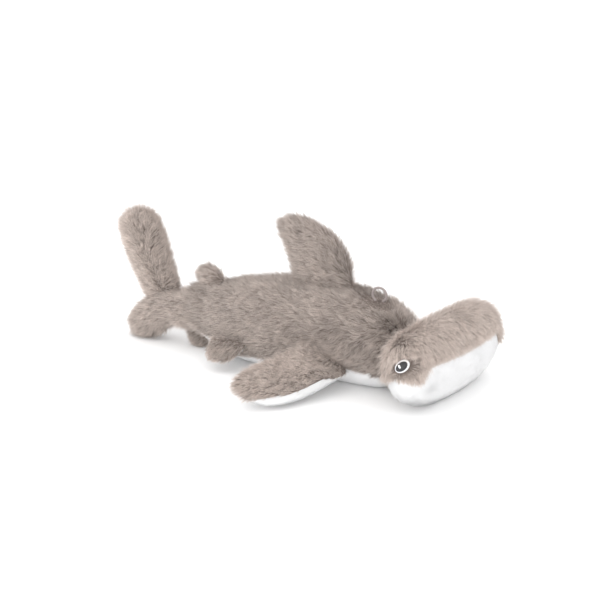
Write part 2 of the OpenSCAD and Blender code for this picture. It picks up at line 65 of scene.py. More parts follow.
SHOULDER_HEIGHT = 0.087
SHOULDER_WIDTH = 0.086
REAR_LENGTH = 0.118
FRONT_LENGTH = 0.133
NECK_START = 0.040
NECK_RISE = 0.030
TAIL_ROOT_HEIGHT = 0.042
TAIL_ROOT_WIDTH = 0.028
TAIL_ROOT_RISE = 0.020
BELLY_SINK = 0.008
BODY_SQUARENESS = 2.3
TAIL_BULGE = 0.008
GROOVE_START = 0.060
GROOVE_DEPTH = 0.005
GROOVE_REACH = 0.4
BELLY_SEAMS = (215, 325)  # degrees, from the left flank over the top

HAMMER_WIDTH = 0.162
HAMMER_DEPTH = 0.049
HAMMER_HEIGHT = 0.080
HAMMER_LIFT = 0.006
HAMMER_SLUMP = 0.003
HAMMER_MIDDLE = 0.159214
HAMMER_END_SHARE = 0.55
HAMMER_ROUNDING = 0.010   # rounding round each end of the hammer
HEAD_SINK = 0.001
HEAD_SQUARENESS = 2.1
HEAD_SEAMS = (228, 386)  # degrees, from the front over the top; the white lies between them
HEAD_SEAM_DROP = 50      # how far the front seam drops at the ends, round the eyes
HEAD_BACK_RISE = 28      # how far the back seam rises at the ends
GREY_BELOW_EYE = 0.007   # how far below the middle of an end the grey reaches
HEAD_TURN = -10
NECK_HINGE = 0.095

EYE_LENGTH = 0.018
EYE_WIDTH = 0.0105
EYE_RIM = 0.0012
EYE_LEAN = 42
EYE_FORWARD = 0.004
EYE_UP = 0.008

TAIL_FRONT = -0.12768
TAIL_MIDDLE = 0.039
STEM_LENGTH = 0.015
STEM_HEIGHT = 0.036
STEM_WIDTH = 0.028
LOBE_LENGTH = 0.045
LOBE_TAPER = 0.84
BEND_RADIUS = 0.028
BEND_ANGLE = math.radians(36)
TAIL_SQUARENESS = 2.2

ROOT_FILL = 0.0055       # radius of the plump seam that closes a fin onto the body
SMALL_FIN = 0.008        # a fin with a smaller half thickness than this holds no stuffing
PECTORAL_DROOP = 20.44
PECTORAL_TILT = 24
PELVIC_DROOP = 47
ANAL_TILT = 17

LOOP_RADIUS = 0.0073
LOOP_CORD = 0.0024
LOOP_OPENING = math.radians(60)

# ---- Sizes of the skins, hairs and threads ----

SKIN_FLOOR = 0.0016      # lowest place of a skin, with room for its pile
BODY_SWELL = 0.002       # the most that the stuffing pushes a skin out
FIN_SWELL = 0.0012
SMALL_FIN_DEPTH = 0.0008  # how deep the skin of a small fin lies inside the CAD surface
CLOTH_PRESSURE = 4
CLOTH_STIFFNESS = 12
CLOTH_FRAMES = 20
MOST_FACES = 198_000     # triangles in one piece of pile
HAIR_TAPER = 0.55        # breadth of a hair below its tip, as a share of its root's
SHORTEST = 0.12          # a hair with a smaller share of its length than this is left out
TOUSLE = 0.22            # how far the fur wanders from its flow where nothing ruffles it
STRAY_SHARE = 0.16       # hairs that stand out of their lock
STRAY_LIFT = 0.50
STRAY_LENGTH = 0.22
RIM_THREAD = 0.00034
PUPIL_THREAD = 0.00030
PUPIL_SWELL = 0.0013     # how far the padded stitches of a pupil stand up
GLINT_THREAD = 0.00024
TACK_THREAD = 0.00022


# ---- Numbers ----

def mix(a, b, t):
    return a + (b - a) * t


def ease(t, power):
    return np.sin(np.pi / 2 * np.power(t, power))


def smooth_step(low, high, value):
    t = np.clip((value - low) / (high - low), 0, 1)
    return t * t * (3 - 2 * t)


def unit(v):
    return v / np.maximum(np.linalg.norm(v, axis=-1, keepdims=True), 1e-12)


def power_of(v, e):
    return np.sign(v) * np.abs(v) ** e


def ring(centre, first, second, squareness, angles):
    """A superellipse round centre with half axes first and second, at angles in degrees."""
    a = np.radians(angles)
    c, s = power_of(np.cos(a), 2 / squareness), power_of(np.sin(a), 2 / squareness)
    return np.array(centre) + np.outer(c, first) + np.outer(s, second)


def noise(points, scale, seed):
    """A smooth field over the points that wanders between about -1 and 1 over the length scale."""
    draw = np.random.default_rng(seed)
    total = np.zeros(len(points))
    waves = 14
    for _ in range(waves):
        direction = unit(draw.normal(size=3))
        length = scale * draw.uniform(0.7, 1.6)
        total += np.sin(points @ direction * 2 * np.pi / length + draw.uniform(0, 7))
    return total / math.sqrt(waves)


# ---- Meshes ----

def loft(rings):
    """The points and faces of a closed form through rings of points, drawn to a point at both ends."""
    rows, columns = len(rings), len(rings[0])
    points = np.concatenate([*rings, [np.mean(rings[0], axis=0), np.mean(rings[-1], axis=0)]])
    first_tip, last_tip = rows * columns, rows * columns + 1
    faces = []
    for i in range(rows - 1):
        for j in range(columns):
            k = (j + 1) % columns
            faces.append((i * columns + j, (i + 1) * columns + j, (i + 1) * columns + k, i * columns + k))
    for j in range(columns):
        k = (j + 1) % columns
        faces.append((first_tip, j, k))
        faces.append((last_tip, (rows - 1) * columns + k, (rows - 1) * columns + j))
    corners = points[[f[:3] for f in faces]]
    volume = np.einsum("ij,ij->", corners[:, 0], np.cross(corners[:, 1], corners[:, 2]))
    if volume < 0:
        faces = [f[::-1] for f in faces]
    return points, faces


def new_object(name, mesh):
    made = bpy.data.objects.new(name, mesh)
    bpy.context.scene.collection.objects.link(made)
    return made


def coordinates(mesh, name="co"):
    found = np.empty(len(mesh.vertices) * 3, np.float32)
    mesh.vertices.foreach_get(name, found)
    return found.reshape(-1, 3).astype(float)


def set_coordinates(mesh, points):
    mesh.vertices.foreach_set("co", points.astype(np.float32).ravel())
    mesh.update()


def place_on(points, matrix):
    m = np.array(matrix)
    return points @ m[:3, :3].T + m[:3, 3]


def turn_by(vectors, matrix):
    return vectors @ np.array(matrix)[:3, :3].T


# ---- Places, from the frame's joints ----

def turned(degrees, axis):
    return Matrix.Rotation(math.radians(degrees), 4, axis)


def hinge_of(name):
    """Middle of a joint's hinge line and the line's direction."""
    found = next(j for j in frame["joints"] if j["name"] == name)
    return Vector(found["pos_m"]), Vector(found["axis"])


def upright(name):
    """The place of a fin that stands on its hinge line."""
    middle, axis = hinge_of(name)
    return Matrix.Translation(middle) @ Matrix.Rotation(-math.atan2(axis.z, axis.x), 4, "Y")


def hanging(name, tilt):
    """The place of a fin that hangs from its hinge line."""
    middle, _ = hinge_of(name)
    return Matrix.Translation(middle) @ turned(tilt, "Y") @ turned(180, "X")


def side_fin(side, name, droop, tilt=0):
    """The place of a fin on the right flank, or its mirror image on the left one."""
    middle, _ = hinge_of(name)
    root = Matrix.Translation((middle.x, -abs(middle.y), middle.z))
    place = root @ turned(tilt, "Y") @ turned(90 + droop, "X")
    return (Matrix.Scale(-1, 4, (0, 1, 0)) @ place) if side > 0 else place


# ---- Skins: the stuffed fabric under the pile ----

def inflate(made, pinned, cap):
    """Blows the skin up a little with cloth simulation, held at its seams. No point moves over cap."""
    before = coordinates(made.data)
    seams = made.vertex_groups.new(name="seams")
    seams.add([int(i) for i in np.flatnonzero(pinned)], 1.0, "REPLACE")
    cloth = made.modifiers.new("inflate", "CLOTH")
    cloth.settings.quality = 4
    cloth.settings.mass = 0.3
    cloth.settings.tension_stiffness = CLOTH_STIFFNESS
    cloth.settings.compression_stiffness = CLOTH_STIFFNESS
    cloth.settings.bending_stiffness = 0.3
    cloth.settings.use_pressure = True
    cloth.settings.uniform_pressure_force = CLOTH_PRESSURE
    cloth.settings.vertex_group_mass = "seams"
    cloth.settings.effector_weights.gravity = 0
    cloth.collision_settings.use_collision = False
    scene = bpy.context.scene
    for step in range(1, CLOTH_FRAMES + 1):
        scene.frame_set(step)
    solved = made.evaluated_get(bpy.context.evaluated_depsgraph_get())
    after = coordinates(solved.data)
    made.modifiers.remove(cloth)
    scene.frame_set(1)
    move = after - before
    length = np.linalg.norm(move, axis=1, keepdims=True)
    move *= cap * np.tanh(length / cap) / np.maximum(length, 1e-9)
    set_coordinates(made.data, before + np.nan_to_num(move))


class Skin:
    """A closed skin with its white faces known, ready for pile to be set on it."""

    def __init__(self, name, rings, white, place, inset, cap=BODY_SWELL):
        """white says which places are white, and inset how deep each point lies inside the CAD surface."""
        points, faces = loft(rings)
        points = place_on(points, place)
        if np.linalg.det(np.array(place)[:3, :3]) < 0:
            faces = [f[::-1] for f in faces]
        points[:, 2] = np.maximum(points[:, 2], 0)
        mesh = bpy.data.meshes.new(name)
        mesh.from_pydata(points.tolist(), [], faces)
        mesh.update()
        normals = coordinates(mesh, "normal")
        local = place_on(points, np.linalg.inv(np.array(place)))
        self.white = white(np.array([local[list(f)].mean(0) for f in faces]))
        beside_white, beside_grey = np.zeros(len(points), bool), np.zeros(len(points), bool)
        for face, is_white in zip(faces, self.white):
            (beside_white if is_white else beside_grey)[list(face)] = True
        set_coordinates(mesh, points - normals * inset(local)[:, None])
        self.object = new_object(name, mesh)
        inflate(self.object, beside_white & beside_grey, cap)
        points = coordinates(mesh)
        points[:, 2] = np.maximum(points[:, 2], SKIN_FLOOR)
        set_coordinates(mesh, points)
        mesh.shade_smooth()
        self.place = place

    def paint(self, grey, white):
        mesh = self.object.data
        mesh.materials.append(grey)
        mesh.materials.append(white)
        mesh.polygons.foreach_set("material_index", self.white.astype(np.int32))

    def scatter(self, white, density, draw):
        """Even random places on the grey or the white faces, with their normals."""
        mesh = self.object.data
        mesh.calc_loop_triangles()
        corners = np.empty(len(mesh.loop_triangles) * 3, np.int32)
        mesh.loop_triangles.foreach_get("vertices", corners)
        owner = np.empty(len(mesh.loop_triangles), np.int32)
        mesh.loop_triangles.foreach_get("polygon_index", owner)
        corners = corners.reshape(-1, 3)[self.white[owner] == white]
        points, normals = coordinates(mesh), coordinates(mesh, "normal")
        a, b, c = (points[corners[:, i]] for i in range(3))
        area = np.linalg.norm(np.cross(b - a, c - a), axis=1) / 2
        count = int(area.sum() * density)
        share = np.cumsum(area) / area.sum()
        spot = (np.arange(count) + draw.random(count)) / count
        pick = np.searchsorted(share, spot).clip(0, len(area) - 1)
        u, v = draw.random((2, count))
        over = u + v > 1
        u[over], v[over] = 1 - u[over], 1 - v[over]
        weights = np.stack([1 - u - v, u, v])[:, :, None]
        three = corners[pick].T
        return (weights * points[three]).sum(0), unit((weights * normals[three]).sum(0))


# ---- Pile: fur and plush, as real hairs ----

def set_attribute(mesh, name, values):
    mesh.attributes.new(name, "FLOAT", "POINT").data.foreach_set("value", values.astype(np.float32))


def hairs(name, lines, width, tone, skin_normals, softness):
    """One mesh of thin closed spikes. lines is (hairs, levels, 3), from the root to the tip."""
    count, levels = lines.shape[:2]
    turns = levels - 1
    along = unit(lines[:, -1] - lines[:, 0])
    helper = np.where(np.abs(along[:, 2:]) < 0.9, [[0.0, 0.0, 1.0]], [[1.0, 0.0, 0.0]])
    first = unit(np.cross(along, helper))
    second = np.cross(along, first)
    points = np.empty((count, 3 * turns + 1, 3), np.float32)
    round_normals = np.empty_like(points)
    level_width = width[:, None] * np.linspace(1, HAIR_TAPER, turns)[None, :]
    for side in range(3):
        angle = side * 2 * math.pi / 3
        out = first * math.cos(angle) + second * math.sin(angle)
        points[:, side:3 * turns:3] = lines[:, :turns] + out[:, None] * level_width[:, :, None]
        round_normals[:, side:3 * turns:3] = out[:, None]
    points[:, -1] = lines[:, -1]
    round_normals[:, -1] = along
    shading = unit(mix(round_normals, skin_normals[:, None], softness))
    points[:, :, 2] = np.maximum(points[:, :, 2], FLOOR_GAP)
    faces = []
    for level in range(turns - 1):
        for side in range(3):
            a, b = 3 * level + side, 3 * level + (side + 1) % 3
            faces.append((a, b, b + 3, a + 3))
    for side in range(3):
        faces.append((3 * turns - 3 + side, 3 * turns - 3 + (side + 1) % 3, 3 * turns))
    faces.append((2, 1, 0))
    corners = np.array([v for f in faces for v in f])
    starts = np.cumsum([0] + [len(f) for f in faces[:-1]])
    size = points.shape[1]
    mesh = bpy.data.meshes.new(name)
    mesh.vertices.add(count * size)
    mesh.vertices.foreach_set("co", points.ravel())
    mesh.loops.add(count * len(corners))
    all_corners = (np.arange(count)[:, None] * size + corners[None, :]).astype(np.int32)
    mesh.loops.foreach_set("vertex_index", all_corners.ravel())
    mesh.polygons.add(count * len(faces))
    all_starts = (np.arange(count)[:, None] * len(corners) + starts[None, :]).astype(np.int32)
    mesh.polygons.foreach_set("loop_start", all_starts.ravel())
    mesh.update(calc_edges=True)
    mesh.shade_smooth()
    height = np.append(np.repeat(np.arange(turns) / turns, 3), 1.0).astype(np.float32)
    set_attribute(mesh, "height", np.tile(height, count))
    set_attribute(mesh, "tone", np.repeat(tone, size))
    # The map that the colours bake through: the tone across and the height up
    margin, half_hair = 0.02, 0.012
    across = np.append(np.tile([-half_hair, 0.0, half_hair], turns), 0.0)
    where = np.empty((count, size, 2), np.float32)
    where[:, :, 0] = margin + (1 - 2 * margin) * tone[:, None] + across[None, :]
    where[:, :, 1] = margin + (1 - 2 * margin) * height[None, :]
    layer = mesh.uv_layers.new(name="OFBake", do_init=False)
    layer.uv.foreach_set("vector", where[:, corners].ravel())
    # Soft pile shades by the surface that it covers more than by its own round hairs
    mesh.normals_split_custom_set_from_vertices(shading.reshape(-1, 3).tolist())
    return new_object(name, mesh)


class Coat:
    """How a pile grows: its density per square metre, the shape of its hairs, its locks and its finish.

    lift is the angle that the hairs stand at, lock the distance between locks, pull how far a lock closes
    up, curl how far the hairs bend sideways and soft how much they shade like the skin below them.
    """

    def __init__(self, density, length, width, lift, lock, pull, curl, soft, material, slot, levels=3):
        self.density, self.length, self.width, self.soft = density, length, width, soft
        self.lift, self.lock, self.pull, self.curl = lift, lock, pull, curl
        self.material, self.slot, self.levels = material, slot, levels

    def grow(self, skin, name, body, white, flow, reach, seed, tousle=None, light=0.0):
        """Sets this pile on a skin.

        flow, reach and tousle take places in the skin's own axes. They give the pile's direction, its share
        of the full length and how far it wanders. light is painted light and shade: a plus makes the whole
        pile lighter and a minus darker than the same fur on other pieces.
        """
        draw = np.random.default_rng(seed)
        points, normals = skin.scatter(white, self.density, draw)
        inverse = np.linalg.inv(np.array(skin.place))
        local = place_on(points, inverse)
        share = reach(local)
        kept = share > SHORTEST
        points, normals, local, share = points[kept], normals[kept], local[kept], share[kept]
        flowing = turn_by(flow(local), skin.place)
        side = np.cross(normals, unit(flowing))
        wild = TOUSLE if tousle is None else tousle(local)
        bend = wild * (noise(points, 0.030, seed + 1) + 0.5 * noise(points, 0.011, seed + 2))
        count = len(points)

        # Each lock leans its own way, and its hairs close up towards its tip
        centres = draw.choice(count, max(int(count / (self.density * self.lock**2)), 4), replace=False)
        tree = KDTree(len(centres))
        for i, c in enumerate(centres):
            tree.insert(points[c], i)
        tree.balance()
        lock = np.array([tree.find(p)[1] for p in points.tolist()])
        own = draw.normal(size=(len(centres), 4))
        turn = bend + 0.12 * own[lock, 0] + 0.16 * draw.normal(size=count)
        heading = flowing + side * np.tan(np.clip(turn, -1.3, 1.3))[:, None]
        heading = unit(heading - normals * (heading * normals).sum(1, keepdims=True))
        stray = draw.random(count) < STRAY_SHARE
        lift = self.lift + 0.08 * own[lock, 1] + 0.16 * draw.normal(size=count) + STRAY_LIFT * stray
        vary = 1 + 0.07 * own[lock, 2] + 0.14 * draw.normal(size=count) + STRAY_LENGTH * stray
        length = self.length * share * vary.clip(0.5, 1.5)
        sway = np.cross(normals, heading)
        phase = draw.uniform(0, 2 * np.pi, count) * 0.25 + 1.6 * own[lock, 3]
        lines = np.empty((count, self.levels, 3))
        lines[:, 0] = points - normals * 0.0003
        step = length / (self.levels - 1)
        for level in range(1, self.levels):
            angle = lift * (1.25 - 0.75 * level / (self.levels - 1))
            curl = self.curl * np.sin(phase + 2.4 * level)
            ahead = unit(
                heading * np.cos(angle)[:, None] + normals * np.sin(angle)[:, None] + sway * curl[:, None]
            )
            lines[:, level] = lines[:, level - 1] + ahead * step[:, None]
        leader = lines[centres][lock]
        offset = points - points[centres][lock]
        pull = self.pull * np.where(stray, 0.1, draw.uniform(0.5, 1.0, count))
        for level in range(1, self.levels):
            t = level / (self.levels - 1)
            target = leader[:, level] + offset * (1 - t)
            # The pull grows from nothing at the root to its most at the tip
            closing = pull * t**1.3 * np.minimum(share * 1.2, 1)
            lines[:, level] = mix(lines[:, level], target, closing[:, None])
        # light is painted light and shade: it makes this piece's fur lighter or darker than the same fur
        # elsewhere
        tone = 0.5 + light + 0.11 * noise(points, 0.035, seed + 3)
        tone += 0.16 * own[lock, 2] + 0.20 * draw.normal(size=count)
        tone = tone.clip(0, 1)
        width = self.width * draw.uniform(0.75, 1.25, count) * np.sqrt(share)
        self.finish(name, body, lines, width, tone, normals)

    def finish(self, name, body, lines, width, tone, normals):
        """Makes the hairs as pieces of at most MOST_FACES triangles, numbered from the tail to the head."""
        most = int(MOST_FACES / (6 * (self.levels - 2) + 4))
        pieces = math.ceil(len(lines) / most)
        order = np.argsort(lines[:, 0, 0], kind="stable")
        for number, part in enumerate(np.array_split(order, pieces), 1):
            title = name if pieces == 1 else f"{name}_{number}"
            piece = hairs(title, lines[part], width[part], tone[part], normals[part], self.soft)
            piece.data.materials.append(bpy.data.materials[self.material])
            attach(piece, body)


# ---- Settings that a user may change ----

def length_setting(name, description, default):
    return bpy.props.FloatProperty(
        name=name, description=description, default=default, unit="LENGTH", min=default / 4, max=default * 4
    )


def colour_setting(name, description, default):
    return bpy.props.FloatVectorProperty(
        name=name, description=description, default=default, subtype="COLOR", size=3, min=0, max=1
    )


class SharkPile(bpy.types.PropertyGroup):
    """Sizes of the two piles."""

    fur_length: length_setting("Fur length", "Length of the grey fur's hairs", 0.0112)
    fur_width: length_setting("Fur hair", "Half thickness of a grey hair at its root", 0.00025)
    plush_length: length_setting("Plush length", "Length of the white plush's hairs", 0.0030)
    plush_width: length_setting("Plush hair", "Half thickness of a white hair at its root", 0.00026)
    lock: length_setting("Lock", "Distance between the locks that the fur falls into", 0.0030)
    fur_density: bpy.props.FloatProperty(
        name="Fur density", description="Grey hairs in a square millimetre", default=2.6, min=0.1, max=4
    )
    plush_density: bpy.props.FloatProperty(
        name="Plush density", description="White hairs in a square millimetre", default=3.0, min=0.1, max=4
    )
    fur_depth: length_setting("Fur depth", "Depth of the grey skin inside the CAD surface", 0.0022)
    plush_depth: length_setting("Plush depth", "Depth of the white skin inside the CAD surface", 0.0012)


class SharkColours(bpy.types.PropertyGroup):
    """Colours of the fabrics and threads."""

    fur_root: colour_setting("Fur root", "Grey fur near the skin", (0.16, 0.128, 0.112))
    fur_tip: colour_setting("Fur tip", "Grey fur at its tips", (0.575, 0.495, 0.448))
    plush_root: colour_setting("Plush root", "White plush near the skin", (0.93, 0.93, 0.935))
    plush_tip: colour_setting("Plush tip", "White plush at its tips", (0.97, 0.97, 0.975))
    pupil: colour_setting("Pupil", "Thread of the pupils", (0.012, 0.012, 0.014))
    eye_white: colour_setting("Eye white", "Thread of the rims and glints", (0.88, 0.88, 0.90))
    cord: colour_setting("Cord", "Elastic cord of the hang loop", (0.028, 0.024, 0.022))


class SharkStage(bpy.types.PropertyGroup):
    """Camera and light."""

    azimuth: bpy.props.FloatProperty(
        name="Azimuth", description="Turn of the camera round the shark",
        default=math.radians(26), unit="ROTATION",
    )
    elevation: bpy.props.FloatProperty(
        name="Elevation", description="Camera above the horizon",
        default=math.radians(19.5), unit="ROTATION",
    )
    distance: length_setting("Distance", "Camera to the middle of the shark", 1.5)
    aim_height: length_setting("Aim height", "Height that the camera looks at", 0.0685)
    light: bpy.props.FloatProperty(
        name="Light", description="Strength of the studio's glow", default=1.35, min=0
    )


SETTINGS = {"shark_pile": SharkPile, "shark_colours": SharkColours, "shark_stage": SharkStage}


# ---- Materials ----

def shader_group(name, inputs, outputs):
    """A new node group with these sockets, as (name, kind, default), and its input and output nodes."""
    group = bpy.data.node_groups.new(name, "ShaderNodeTree")
    for title, kind, default in inputs:
        socket = group.interface.new_socket(title, in_out="INPUT", socket_type=kind)
        socket.default_value = default
    for title, kind in outputs:
        group.interface.new_socket(title, in_out="OUTPUT", socket_type=kind)
    return group, group.nodes.new("NodeGroupInput"), group.nodes.new("NodeGroupOutput")


def add_node(tree, kind, links=None, **settings):
    """A node with its settings made and its inputs linked or set."""
    made = tree.nodes.new(kind)
    for key, value in settings.items():
        setattr(made, key, value)
    for key, value in (links or {}).items():
        if isinstance(value, bpy.types.NodeSocket):
            tree.links.new(value, made.inputs[key])
        else:
            made.inputs[key].default_value = value
    return made


def spread_over(group, value, low, high):
    """A value from 0 to 1 spread over the range from low to high."""
    made = add_node(group, "ShaderNodeMapRange", {"Value": value, "To Min": low, "To Max": high})
    return made.outputs["Result"]


def noise_node(group, place, scale, detail):
    made = add_node(group, "ShaderNodeTexNoise", {"Vector": place, "Scale": scale, "Detail": detail})
    return made.outputs["Fac"]


def scaled_colour(group, colour, factor):
    made = add_node(group, "ShaderNodeVectorMath", {0: colour, "Scale": factor}, operation="SCALE")
    return made.outputs[0]


def colour_of(rgb):
    return (*rgb, 1.0)


GREY_COLOUR = (0.5, 0.5, 0.5, 1)


def pile_group():
    """Colour of one hair: darker and richer at its root, paler at its tip, each with its own tone."""
    group, given, out = shader_group(
        "Pile",
        [("Root", "NodeSocketColor", GREY_COLOUR), ("Tip", "NodeSocketColor", GREY_COLOUR),
         ("Tone Spread", "NodeSocketFloat", 0.3), ("Root Reach", "NodeSocketFloat", 0.6)],
        [("Color", "NodeSocketColor"), ("Roughness", "NodeSocketFloat")],
    )
    height = add_node(group, "ShaderNodeAttribute", attribute_name="height").outputs["Fac"]
    tone = add_node(group, "ShaderNodeAttribute", attribute_name="tone").outputs["Fac"]
    rise = add_node(
        group, "ShaderNodeMapRange",
        {"Value": height, "From Min": 0.0, "From Max": given.outputs["Root Reach"]},
        interpolation_type="SMOOTHSTEP",
    ).outputs["Result"]
    blend = add_node(
        group, "ShaderNodeMix",
        {"Factor": rise, "A": given.outputs["Root"], "B": given.outputs["Tip"]}, data_type="RGBA",
    )
    centred = add_node(group, "ShaderNodeMath", {0: tone, 1: 0.5}, operation="SUBTRACT").outputs[0]
    spread = add_node(
        group, "ShaderNodeMath", {0: centred, 1: given.outputs["Tone Spread"], 2: 1.0},
        operation="MULTIPLY_ADD",
    ).outputs[0]
    shade = scaled_colour(group, blend.outputs["Result"], spread)
    rough = spread_over(group, height, 0.9, 0.62)
    group.links.new(shade, out.inputs["Color"])
    group.links.new(rough, out.inputs["Roughness"])
    return group


def knit_group():
    """The knitted backing that the pile is set in: small loops in rows."""
    group, given, out = shader_group(
        "Knit",
        [("Color", "NodeSocketColor", GREY_COLOUR), ("Loops", "NodeSocketFloat", 900.0),
         ("Mottle", "NodeSocketFloat", 0.2)],
        [("Color", "NodeSocketColor"), ("Roughness", "NodeSocketFloat"), ("Height", "NodeSocketFloat")],
    )
    place = add_node(group, "ShaderNodeTexCoord").outputs["Object"]
    loops = add_node(
        group, "ShaderNodeTexVoronoi",
        {"Vector": place, "Scale": given.outputs["Loops"], "Randomness": 0.35}, feature="F1",
    ).outputs["Distance"]
    patches = noise_node(group, place, 120.0, 4.0)
    centred = add_node(group, "ShaderNodeMath", {0: patches, 1: 0.5}, operation="SUBTRACT").outputs[0]
    spread = add_node(
        group, "ShaderNodeMath", {0: centred, 1: given.outputs["Mottle"], 2: 1.0}, operation="MULTIPLY_ADD"
    ).outputs[0]
    shade = scaled_colour(group, given.outputs["Color"], spread)
    rough = spread_over(group, loops, 0.8, 0.98)
    group.links.new(shade, out.inputs["Color"])
    group.links.new(rough, out.inputs["Roughness"])
    group.links.new(loops, out.inputs["Height"])
    return group


def thread_group():
    """Twisted thread or cord: fine strands that wind round it."""
    group, given, out = shader_group(
        "Thread",
        [("Color", "NodeSocketColor", GREY_COLOUR), ("Twist", "NodeSocketFloat", 1500.0),
         ("Wear", "NodeSocketFloat", 0.2)],
        [("Color", "NodeSocketColor"), ("Roughness", "NodeSocketFloat"), ("Height", "NodeSocketFloat")],
    )
    place = add_node(group, "ShaderNodeTexCoord").outputs["Object"]
    strands = add_node(
        group, "ShaderNodeTexWave",
        {"Vector": place, "Scale": given.outputs["Twist"], "Distortion": 1.2, "Detail": 1.0},
        wave_type="BANDS", bands_direction="DIAGONAL",
    ).outputs["Fac"]
    lint = noise_node(group, place, 900.0, 3.0)
    both = add_node(group, "ShaderNodeMath", {0: strands, 1: lint}, operation="MULTIPLY").outputs[0]
    spread = add_node(
        group, "ShaderNodeMath", {0: both, 1: given.outputs["Wear"], 2: 0.92}, operation="MULTIPLY_ADD"
    ).outputs[0]
    shade = scaled_colour(group, given.outputs["Color"], spread)
    rough = spread_over(group, both, 0.38, 0.62)
    group.links.new(shade, out.inputs["Color"])
    group.links.new(rough, out.inputs["Roughness"])
    group.links.new(both, out.inputs["Height"])
    return group


def grain_group():
    """Moulded plastic: a faint grain and soft smudges."""
    group, given, out = shader_group(
        "Grain",
        [("Color", "NodeSocketColor", GREY_COLOUR), ("Grain", "NodeSocketFloat", 600.0)],
        [("Color", "NodeSocketColor"), ("Roughness", "NodeSocketFloat"), ("Height", "NodeSocketFloat")],
    )
    place = add_node(group, "ShaderNodeTexCoord").outputs["Object"]
    grain = noise_node(group, place, given.outputs["Grain"], 5.0)
    smudge = noise_node(group, place, 60.0, 2.0)
    spread = spread_over(group, smudge, 0.9, 1.06)
    shade = scaled_colour(group, given.outputs["Color"], spread)
    rough = spread_over(group, grain, 0.28, 0.55)
    group.links.new(shade, out.inputs["Color"])
    group.links.new(rough, out.inputs["Roughness"])
    group.links.new(grain, out.inputs["Height"])
    return group


def finish_material(name, group, values, bump=0.0, depth=0.0002, **shader):
    """A material whose colour, roughness and height come from a group. shader holds its other values."""
    made = bpy.data.materials.new(name)
    made.use_nodes = True
    tree = made.node_tree
    tree.nodes.clear()
    out = tree.nodes.new("ShaderNodeOutputMaterial")
    surface = tree.nodes.new("ShaderNodeBsdfPrincipled")
    effect = add_node(tree, "ShaderNodeGroup", node_tree=group)
    for key, value in values.items():
        effect.inputs[key].default_value = value
    tree.links.new(effect.outputs["Color"], surface.inputs["Base Color"])
    tree.links.new(effect.outputs["Roughness"], surface.inputs["Roughness"])
    if bump:
        raised = add_node(
            tree, "ShaderNodeBump",
            {"Height": effect.outputs["Height"], "Strength": bump, "Distance": depth},
        )
        tree.links.new(raised.outputs["Normal"], surface.inputs["Normal"])
    for key, value in shader.items():
        surface.inputs[key.replace("_", " ").title().replace("Ior", "IOR")].default_value = value
    tree.links.new(surface.outputs["BSDF"], out.inputs["Surface"])


def make_materials():
    colours = bpy.context.scene.shark_colours
    pile, knit, thread, grain = pile_group(), knit_group(), thread_group(), grain_group()
    finish_material(
        "grey_fur", pile,
        {"Root": colour_of(colours.fur_root), "Tip": colour_of(colours.fur_tip), "Tone Spread": 0.55,
         "Root Reach": 0.75},
        sheen_weight=0.25, sheen_roughness=0.4, sheen_tint=(1.0, 0.95, 0.9, 1), specular_ior_level=0.35,
    )
    finish_material(
        "white_pile", pile,
        {"Root": colour_of(colours.plush_root), "Tip": colour_of(colours.plush_tip), "Tone Spread": 0.04,
         "Root Reach": 0.9},
        sheen_weight=0.2, sheen_roughness=0.5, specular_ior_level=0.3,
    )
    finish_material(
        "grey_backing", knit, {"Color": colour_of(colours.fur_root), "Loops": 900.0, "Mottle": 0.35},
        bump=0.6, specular_ior_level=0.2,
    )
    finish_material(
        "white_backing", knit, {"Color": colour_of(colours.plush_tip), "Loops": 1100.0, "Mottle": 0.06},
        bump=0.5, specular_ior_level=0.2,
    )
    finish_material(
        "white_thread", thread, {"Color": colour_of(colours.eye_white), "Twist": 1500.0, "Wear": 0.14},
        bump=0.5, depth=0.0001, sheen_weight=0.15,
    )
    finish_material(
        "black_thread", thread, {"Color": colour_of(colours.pupil), "Twist": 1500.0, "Wear": 0.5},
        bump=0.5, depth=0.0001, specular_ior_level=0.6, coat_weight=0.25, coat_roughness=0.25,
    )
    finish_material(
        "grey_thread", thread, {"Color": colour_of(colours.fur_root), "Twist": 1800.0, "Wear": 0.3},
        bump=0.5, depth=0.0001,
    )
    finish_material(
        "elastic_cord", thread, {"Color": colour_of(colours.cord), "Twist": 420.0, "Wear": 0.7},
        bump=0.9, depth=0.0004, specular_ior_level=0.15,
    )
    finish_material(
        "bulb_plastic", grain, {"Color": (0.85, 0.83, 0.74, 1), "Grain": 500.0}, bump=0.15, depth=0.0001
    )
    finish_material(
        "reed_plastic", grain, {"Color": (0.70, 0.07, 0.05, 1), "Grain": 700.0}, bump=0.15, depth=0.0001
    )


def furs():
    """The two piles: long grey fur in locks, and short white plush that stands up."""
    pile = bpy.context.scene.shark_pile
    fur = Coat(
        density=pile.fur_density / MM**2, length=pile.fur_length, width=pile.fur_width, lift=0.64,
        lock=pile.lock, pull=0.30, curl=0.18, soft=0.12, material="grey_fur", slot="grey_plush",
    )
    plush = Coat(
        density=pile.plush_density / MM**2, length=pile.plush_length, width=pile.plush_width, lift=0.8,
        lock=0.0022, pull=0.3, curl=0.1, soft=0.85, material="white_pile", slot="white_plush", levels=2,
    )
    return fur, plush


def whole(points):
    return np.ones(len(points))


def none_white(points):
    return np.zeros(len(points), bool)


def two_depths(white_share):
    """An inset that is deep under the fur and shallow under the plush."""
    pile = bpy.context.scene.shark_pile
    return mix(pile.fur_depth, pile.plush_depth, white_share)


def cover(skin, body, replaced):
    """Paints a skin, hangs it on its body and hides the CAD parts that it stands for."""
    skin.paint(bpy.data.materials["grey_backing"], bpy.data.materials["white_backing"])
    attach(skin.object, body)
    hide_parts(*replaced)


# ---- Torso ----

BODY_COLUMNS = 72
BODY_ANGLES = np.arange(BODY_COLUMNS) * 360 / BODY_COLUMNS


def rear_share(x):
    return np.clip(1 + x / REAR_LENGTH, 0, 1)


